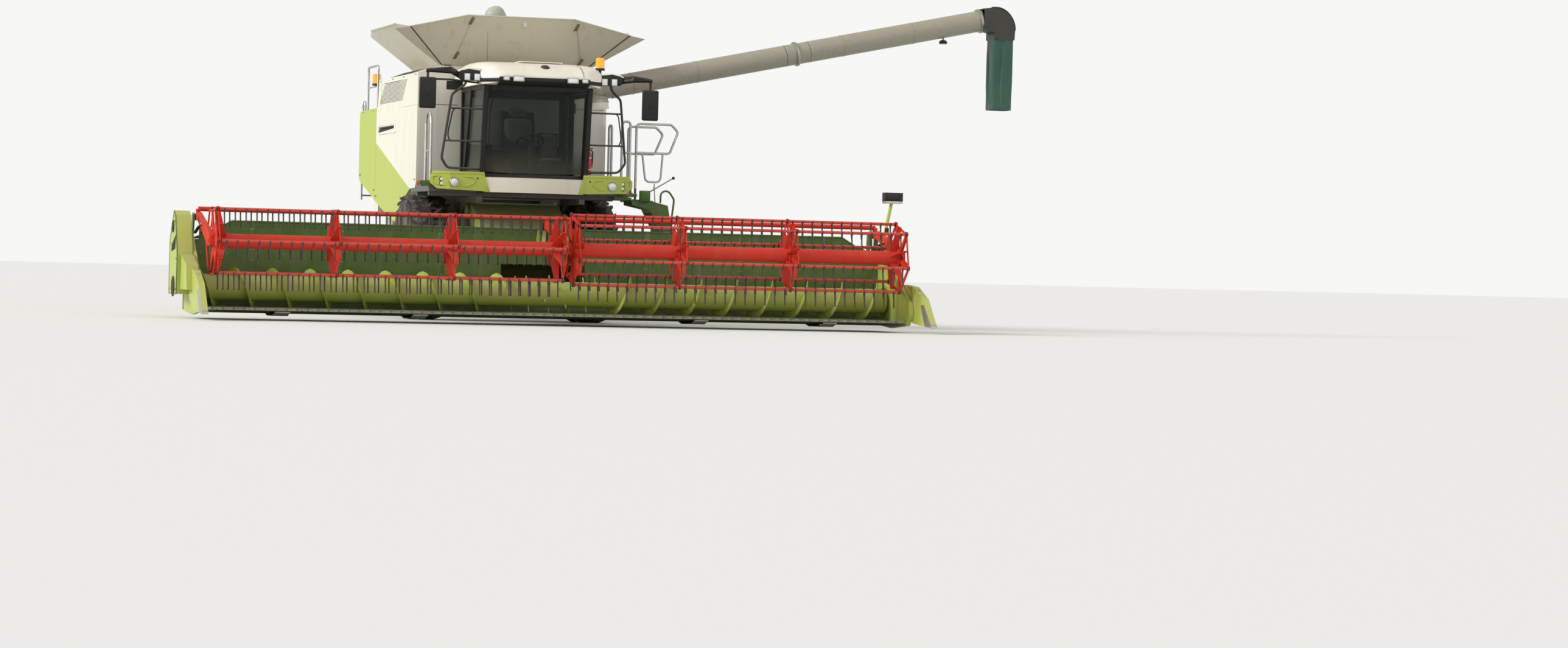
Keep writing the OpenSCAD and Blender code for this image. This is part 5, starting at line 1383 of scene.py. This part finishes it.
class HARVESTER_OT_header_trim(Operator):
    """Seams, bolt rows, rims, skids and the sensor head of the header"""

    bl_idname = "harvester.header_trim"
    bl_label = "Header trim"

    def execute(self, context):
        half = header_half()
        green, steel, black, silver = [], [], [], []
        # rolled edge along the wall's top and its sloped ends
        top = [(-half, -2626, 1150), (365 - half, -2626, 1290), (600 - half, -2626, 1430),
               (half - 600, -2626, 1430), (half - 365, -2626, 1290), (half, -2626, 1150)]
        green += bars(top, 30, 10, 4)
        # folded joints of the wall sheets and their bolt rows
        spots = []
        for x in (-0.83, -0.58, -0.30, 0.30, 0.58, 0.83):
            x *= half
            head = 1425 if abs(x) < half - 700 else 1280
            green.append(brick(x - 34, x + 34, -2636, -2628, 372, head, 2))
            spots += [(x + dx, -2636, z) for dx in (-20, 20) for z in range(420, int(head), 150)]
        spots += [(x, -2632, 960) for x in range(int(-half) + 150, int(half) - 100, 410)
                  if abs(x) > 700]
        # pressed ledge in the middle of the wall
        for s in BOTH:
            ledge = sided(s, [(700, 1180), (half - 420, 1180), (half - 420, 1192), (700, 1192)])
            green.append(slab(ledge, "y", -2638, 10, 3))
        steel += bolts(spots, (0, -1, 0), 13)
        # ribs, rim and bolts of the end walls
        for s in BOTH:
            x = s * (half + 60.5)
            rim = [(-4195, 262), (-4146, 458), (-3500, 815), (-2900, 1274),
                   (-2485, 1284), (-2485, 118)]
            green += bars([(x, y, z) for y, z in rim], 22, 8)
            if s > 0:
                green.append(slab([(-3700, 300), (-2600, 300), (-2600, 340), (-3700, 340)], "x",
                                  x - 4, 16, 3))
                green.append(slab([(-3040, 360), (-2990, 360), (-2990, 1140), (-3040, 1100)], "x",
                                  x - 4, 16, 3))
                spots = [(-3900, 420), (-3500, 700), (-3100, 1020), (-2700, 1200),
                         (-2560, 700), (-2560, 420), (-3300, 200), (-2900, 200)]
                steel += bolts([(x + 2, y, z) for y, z in spots], (1, 0, 0), 20)
                silver.append(turned(((0.5, 10), (60, 8), (72, 0), (72, -6)), (x + 4, -3000, 460),
                                     (1, 0, 0), 32))
        # divider points: silver shoes, and a steel bar above each
        for s in BOTH:
            x0, x1 = s * (half + 58), s * (half + 153)
            nose = [(-5004, 96), (-4992, 122), (-4640, 440), (-4480, 430), (-4700, 110)]
            silver.append(slab(nose, "x", min(x0, x1), 97, 6))
            steel.append(rod(((x0 + x1) / 2, -4300, 640), ((x0 + x1) / 2, -3760, 716), 30, 10, 4))
        # slatted vents, belt guard rim and bolts of the drive housing on the right end
        x = -half - 60.2 - 225
        for k in range(7):
            y, foot, head = k * 60, 1000 - k * 6, 1200 - k * 20
            vent = [(-3140 + y, foot), (-3104 + y, foot), (-3150 + y, head), (-3186 + y, head)]
            black.append(slab(vent, "x", x - 4, 8, 1.5))
        edge = [(-3296, 354), (-3336, 918), (-3078, 1494), (-2932, 1553), (-2704, 1294),
                (-2556, 1116), (-2556, 356), (-3296, 354)]
        green += bars([(x + 3, y, z) for y, z in edge], 18, 8)
        spots = [(-3240, 420), (-3270, 860), (-3060, 1400), (-2930, 1480),
                 (-2740, 1240), (-2620, 1080), (-2620, 420), (-2930, 380)]
        steel += bolts([(x - 1, y, z) for y, z in spots], (-1, 0, 0), 20)
        for y, z, r in ((-3000, 460, 150), (-2900, 1330, 90)):
            black.append(turned(((r, -2), (r, 10), (r * 0.86, 16), (r * 0.3, 18), (0.5, 18)),
                                (x, y, z), (-1, 0, 0), 40))
        # skid shoes below the trough
        for x in (-0.78, -0.4, 0.4, 0.78):
            x *= half
            shoe = [(-3900, 118), (-3700, 66), (-3180, 58), (-3000, 88),
                    (-3000, 96), (-3180, 72), (-3700, 80), (-3900, 134)]
            silver.append(slab(shoe, "x", x - 110, 220, 4))
        # sensor head on its post at the left end
        x = half + 0.2
        silver.append(brick(x + 26, x + 304, -2856, -2674, 1976, 2012, 3))
        black.append(brick(x + 25, x + 305, -2855, -2675, 2010, 2145, 3))
        black.append(brick(x + 60, x + 250, -2862, -2850, 2034, 2112, 6))
        lead = [(x + 150, -2700, 1980), (x + 165, -2690, 1890), (x + 120, -2690, 1640),
                (x + 60, -2668, 1380), (x + 36, -2660, 1240)]
        black.append(hose("lead", lead, 14, 8))
        black.append(brick(x + 60, x + 116, -2776, -2710, 1500, 1600, 8))
        piece("header_seams", green, "header", "header")
        piece("header_bolts", steel, "steel", "header")
        piece("header_silver", silver, "silver", "header")
        piece("header_black", black, "black", "header")
        # lime foot of the sensor's post, and the lime plate beside the middle arm
        lime = [brick(x + 8, x + 54, -2740, -2660, 1270, 1330, 6)]
        lime.append(slab([(-134, 1200), (-42, 1200), (-42, 1424), (-108, 1424)], "y", -2640, 10, 3))
        piece("header_lime", lime, "lime", "header")
        return {"FINISHED"}


class HARVESTER_OT_reel_trim(Operator):
    """Bearings, stiffening plates, cranks, flanges and the centre drive of the reel"""

    bl_idname = "harvester.reel_trim"
    bl_label = "Reel trim"

    def execute(self, context):
        half = header_half()
        y0, z0, r = REEL_Y, REEL_Z, REEL_R

        def out_at(f):
            """How far from the middle a share of one half's length lies."""
            return 95 + f * (half - 255)

        stations = [out_at(f) for f in (0, 0.32, 0.66, 1)]
        for s, name in ((1, "left"), (-1, "right")):
            black, steel, red = [], [], []
            angles = [math.radians(BAR_PHASE[name] + 60 * k) for k in range(6)]
            for a in angles:
                y, z = y0 + r * math.sin(a), z0 + r * math.cos(a)
                for x in stations:
                    # bearing shells on each side of the spider, with their bolts
                    for dx in (-9, 17):
                        black.append(turned(((31, -8), (34, -4), (34, 4), (31, 8)),
                                            (s * (x + dx), y, z), (s, 0, 0), 14))
                    pair = [(s * (x + 9), y0 + (r - 70) * math.sin(b), z0 + (r - 70) * math.cos(b))
                            for b in (a - 0.04, a + 0.04)]
                    steel += bolts(pair, (s, 0, 0), 14)
                # cranks that keep the bars upright, outside the last spider
                x = s * (stations[3] + 26)
                black.append(rod((x, y, z), (x, y + 74, z - 18), 22, 8, 3))
            # tapered plates that stiffen the first and the last spider
            for a in angles:
                out, side = Vector((math.sin(a), math.cos(a))), Vector((math.cos(a), -math.sin(a)))
                plate = [out * 108 - side * 92, out * (r - 46) - side * 34,
                         out * (r - 46) + side * 34, out * 108 + side * 92]
                plate = [(y0 + q.x, z0 + q.y) for q in plate]
                for x in (stations[0] - 14, stations[3] + 20):
                    red.append(slab(plate, "x", s * x - 3, 6, 1.5))
            # six-sided frame that the cranks run on
            x = s * (stations[3] + 36)
            corners = [(x, y0 + 74 + r * math.sin(a), z0 - 18 + r * math.cos(a)) for a in angles]
            red += bars(corners + corners[:1], 26, 8, 4)
            # flanges of the middle tube at the spiders
            for x in stations:
                for dx in (-14, 22):
                    red.append(turned(((106, -7), (150, -6), (150, 6), (106, 7)),
                                      (s * (x + dx), y0, z0), (s, 0, 0), 32))
                steel += bolts(ring_places((s * (x + 29), y0, z0), 130, 8), (s, 0, 0), 16)
            # welded joint bands of the tube
            for f in (0.16, 0.49, 0.83):
                red.append(turned(((104, -5), (109, -3), (109, 3), (104, 5)),
                                  (s * out_at(f), y0, z0), (s, 0, 0), 40))
            body = "reel_half_" + name
            piece("reel_bearings_" + name, black, "black", body)
            piece("reel_bolts_" + name, steel, "steel", body)
            piece("reel_flanges_" + name, red, "red", body)
        # centre drive on the middle arm: lime guard, sprocket case and its bolts
        guard = [(-4095, 1060), (-3940, 1045), (-3660, 1230), (-3400, 1300), (-3420, 1400),
                 (-3700, 1400), (-3980, 1290), (-4085, 1200)]
        lime = [slab(guard, "x", x, 8, 3) for x in (-40, 32)]
        dark = [turned(((0.5, 14), (46, 14), (58, 8), (60, -8), (40, -12)), (s * 44, y0, z0),
                       (s, 0, 0), 32) for s in BOTH]
        dark.append(rod((0, -3560, 1400), (0, -3340, 1440), 90, 16, 8))
        spots = ((-3700, 1340), (-3500, 1350), (-3900, 1240))
        nuts = bolts([(s * 40, y, z) for s in BOTH for y, z in spots], (1, 0, 0), 18)
        piece("reel_centre_guard", lime, "lime", "arms")
        piece("reel_centre_drive", dark, "cast", "arms")
        piece("reel_centre_nuts", nuts, "steel", "arms")
        # lift cylinders of the two outer arms
        barrels, rods = [], []
        for x in (95 - half, half - 95):
            for e in (-44, 44):
                barrels.append(rod((x + e, -2760, 1250), (x + e, -3120, 1330), 46, 14, 4))
                rods.append(rod((x + e, -3110, 1328), (x + e, -3300, 1372), 24, 12, 3))
        piece("reel_lift_barrels", barrels, "black_gloss", "arms")
        piece("reel_lift_rods", rods, "chrome", "arms")
        return {"FINISHED"}


class HARVESTER_OT_mirror_glass(Operator):
    """Panes and rounded shells of the mirrors"""

    bl_idname = "harvester.mirror_glass"
    bl_label = "Mirrors"

    def execute(self, context):
        panes, seams = [], []
        for x, z in ((-1780, 3440), (1680, 3370)):
            w, h, r = 100, 210, 40
            outline = []
            for k in range(24):
                a = math.tau * (k + 0.5) / 24
                c, s = math.cos(a), math.sin(a)
                outline.append((x + (w - r) * (1 if c > 0 else -1) + r * c,
                                z + (h - r) * (1 if s > 0 else -1) + r * s))
            panes.append(slab(outline, "y", -2286, 4, 1))
            seams.append(block(Vector((0.258, 0.062, 0.468)), at(x, -2341, z), 0.029, 4))
            seams.append(brick(x - 30, x + 30, -2380, -2372, z - 60, z + 60, 4))
        piece("mirror_panes", panes, "mirror")
        piece("mirror_seams", seams, "black_gloss")
        return {"FINISHED"}


class HARVESTER_OT_hydraulics(Operator):
    """Hydraulic lines clipped along the header's rear beam"""

    bl_idname = "harvester.hydraulics"
    bl_label = "Hydraulics"

    def execute(self, context):
        half = header_half()
        fixed, ends = [], []
        shared = [(700, -2450, 0), (1500, -2452, 4), (2600, -2450, 0), (half - 400, -2450, 0)]
        for s, diameters, last in (
            (1, (22, 22, 18), [(half - 180, -2470, -10), (half - 110, -2540, 20)]),
            (-1, (22, 18), [(half - 60, -2480, -10)]),
        ):
            for k, d in enumerate(diameters):
                line = [(s * x, y, 1150 + 26 * k + rise) for x, y, rise in shared + last]
                fixed.append(hose("line", line, d, 8, 4))
        for s in BOTH:
            for f in (0.2, 0.45, 0.7, 0.9):
                x = s * half * f
                if abs(x) > 700:
                    ends.append(brick(x - 14, x + 14, -2462, -2430, 1120, 1216, 4))
        ends.append(brick(690, 880, -2470, -2400, 1122, 1260, 8))
        piece("header_lines", fixed, "hose", "header")
        piece("header_line_clips", ends, "steel", "header")
        return {"FINISHED"}


class HARVESTER_OT_rear_trim(Operator):
    """Exhaust, intake cap, screens, handles, knives and mud flaps of the rear end"""

    bl_idname = "harvester.rear_trim"
    bl_label = "Rear trim"

    def execute(self, context):
        black, steel, pale, dark = [], [], [], []
        # exhaust outlet, air intake cap and cooling screen drum
        steel.append(turned(((87, -4), (92, 0), (92, 60), (87, 64)), (620, 3000, 3640),
                            (0, 0, 1), 36))
        outlet = [(620, 3000, 3760), (620, 3004, 3830), (620, 3040, 3900), (620, 3110, 3940)]
        steel.append(hose("outlet", outlet, 150, 24))
        cap = ((212, 0), (216, 8), (216, 60), (190, 92), (120, 112), (0.5, 120))
        black.append(turned(cap, (-300, 2600, 3722), (0, 0, 1), 44))
        for k in range(9):
            z = 3612 + k * 11
            black.append(turned(((210.5, 0), (213, 2), (213, 4), (210.5, 6)), (-300, 2600, z),
                                (0, 0, 1), 40))
        for i in range(13):
            black.append(brick(-1186, -1178, 2990 + i * 54, 3024 + i * 54, 3410, 3560, 2))
        # seams, handles and hinges of the hood's rear face
        for s in BOTH:
            handle = [(5085, 2760), (5126, 2740), (5146, 2660), (5140, 2600), (5108, 2560)]
            black.append(hose("handle", [(s * 300, y, z) for y, z in handle], 22, 8))
            for z in (2500, 2900):
                steel.append(rod((s * 1144, 4800, z - 50), (s * 1144, 4800, z + 50), 26, 10, 3))
        for z, y in ((2420, 5142), (2860, 5010), (3050, 4958)):
            pale.append(rod((-1080, y + 6, z), (1080, y + 6, z), 16, 8, 3))
        # chopper: knives on its rotor, bolts along its edge and hubs at its ends
        blade = slab([(-70, -3), (70, -3), (78, 0), (70, 3), (-70, 3)], "x", 0, 50, 1)
        spots = []
        for i in range(15):
            for k in range(4):
                a = math.tau * k / 4 + i * 0.7
                place = moved(-770 + i * 106, 4850 + 130 * math.cos(a), 1560 + 130 * math.sin(a))
                spots.append(place @ Matrix.Translation(AXLE) @ Matrix.Rotation(a, 4, "X")
                             @ Matrix.Translation(-AXLE))
        steel += copies(blade, spots)
        for i in range(-3, 4):
            steel += bolts([(i * 240 + 30, 5276, 1062)], (0, 0, 1), 18)
        for s in BOTH:
            dark.append(turned(((0.5, 22), (80, 20), (112, 12), (118, 0), (118, -4)),
                               (s * 822, 4850, 1560), (s, 0, 0), 36))
            steel += bolts(ring_places((s * 838, 4850, 1560), 92, 6), (s, 0, 0), 18)
        # mud flaps
        for s in BOTH:
            outline = sided(s, [(900, 1480), (1180, 1480), (1180, 1120), (1160, 1100),
                                (920, 1100), (900, 1120)])
            black.append(slab(outline if s > 0 else outline[::-1], "y", 4470, 8, 2))
        piece("rear_black", black, "black")
        piece("rear_steel", steel, "steel")
        piece("rear_cream", pale, "cream")
        piece("chopper_hubs", dark, "cast")
        return {"FINISHED"}


class HARVESTER_OT_stage(Operator):
    """Pale floor, soft studio light and the camera"""

    bl_idname = "harvester.stage"
    bl_label = "Stage"

    def execute(self, context):
        clear()
        bpy.ops.mesh.primitive_plane_add(size=600.0, location=(0, 0, 0))
        floor = bpy.context.active_object
        floor.name = "floor"
        f = Finish("floor_pale")
        f.skin(Base_Color=(0.80, 0.79, 0.77, 1.0), Roughness=0.9)
        floor.data.materials.append(f.material)

        world = bpy.data.worlds.new("studio")
        context.scene.world = world
        world.use_nodes = True
        tree = world.node_tree
        tree.nodes.clear()
        out = tree.nodes.new("ShaderNodeOutputWorld")
        path = tree.nodes.new("ShaderNodeLightPath")
        light = tree.nodes.new("ShaderNodeBackground")
        seen = tree.nodes.new("ShaderNodeBackground")
        light.inputs[0].default_value = (1.0, 0.99, 0.97, 1)
        light.inputs[1].default_value = 0.62
        seen.inputs[0].default_value = (0.93, 0.93, 0.92, 1)
        seen.inputs[1].default_value = 1.0
        rays = tree.nodes.new("ShaderNodeMath")
        rays.operation, rays.use_clamp = "ADD", True
        both = tree.nodes.new("ShaderNodeMixShader")
        tree.links.new(path.outputs["Is Camera Ray"], rays.inputs[0])
        tree.links.new(path.outputs["Is Transmission Ray"], rays.inputs[1])
        tree.links.new(rays.outputs[0], both.inputs[0])
        tree.links.new(light.outputs[0], both.inputs[1])
        tree.links.new(seen.outputs[0], both.inputs[2])
        tree.links.new(both.outputs[0], out.inputs[0])

        for name, way, energy, soft in (
            ("key", (0.88, 0.10, -0.46), 2.5, 24),
            ("fill", (-0.35, 0.85, -0.40), 0.55, 70),
        ):
            data = bpy.data.lights.new(name, "SUN")
            data.energy, data.angle = energy, math.radians(soft)
            lamp = bpy.data.objects.new(name, data)
            lamp.rotation_euler = Vector(way).to_track_quat("-Z", "Y").to_euler()
            context.scene.collection.objects.link(lamp)

        data = bpy.data.cameras.new("camera")
        data.sensor_width, data.lens = 36.0, 83.85
        data.clip_start, data.clip_end = 1.0, 600.0
        camera = bpy.data.objects.new("camera", data)
        camera.location = at(-12900, -56300, 900)
        yaw, pitch, roll = math.radians(17.3), math.radians(0.836), math.radians(1.4)
        way = Vector(
            (math.sin(yaw) * math.cos(pitch), math.cos(yaw) * math.cos(pitch), -math.sin(pitch))
        )
        turn = way.to_track_quat("-Z", "Y") @ Quaternion((0, 0, 1), roll)
        camera.rotation_euler = turn.to_euler()
        context.scene.collection.objects.link(camera)
        context.scene.camera = camera
        context.scene.view_settings.view_transform = "Standard"
        return {"FINISHED"}


class HARVESTER_PT_pieces(Panel):
    """Shows the harvester's looks and a button for each of its steps in the sidebar"""

    bl_label = "Harvester"
    bl_idname = "HARVESTER_PT_pieces"
    bl_space_type = "VIEW_3D"
    bl_region_type = "UI"
    bl_category = "Harvester"

    def draw(self, context):
        look = context.scene.harvester_looks
        for key in ("cream", "lime", "header_green", "reel_red", "canvas", "dust", "chute_folds"):
            self.layout.prop(look, key)
        for step in STEPS:
            self.layout.operator(step.bl_idname)


STEPS = (
    HARVESTER_OT_stage,
    HARVESTER_OT_finishes,
    HARVESTER_OT_hydraulics,
    HARVESTER_OT_chute,
    HARVESTER_OT_lamps,
    HARVESTER_OT_fascia,
    HARVESTER_OT_cab_trim,
    HARVESTER_OT_flanks,
    HARVESTER_OT_tank_covers,
    HARVESTER_OT_unloading_tube,
    HARVESTER_OT_access,
    HARVESTER_OT_wheels,
    HARVESTER_OT_header_trim,
    HARVESTER_OT_reel_trim,
    HARVESTER_OT_mirror_glass,
    HARVESTER_OT_rear_trim,
)
CLASSES = (HarvesterLooks, *STEPS, HARVESTER_PT_pieces)


def register():
    for c in CLASSES:
        bpy.utils.register_class(c)
    bpy.types.Scene.harvester_looks = PointerProperty(type=HarvesterLooks)


def unregister():
    del bpy.types.Scene.harvester_looks
    for c in reversed(CLASSES):
        bpy.utils.unregister_class(c)


def main():
    register()
    for step in STEPS:
        group, name = step.bl_idname.split(".")
        getattr(getattr(bpy.ops, group), name)()


if __name__ == "__main__":
    main()
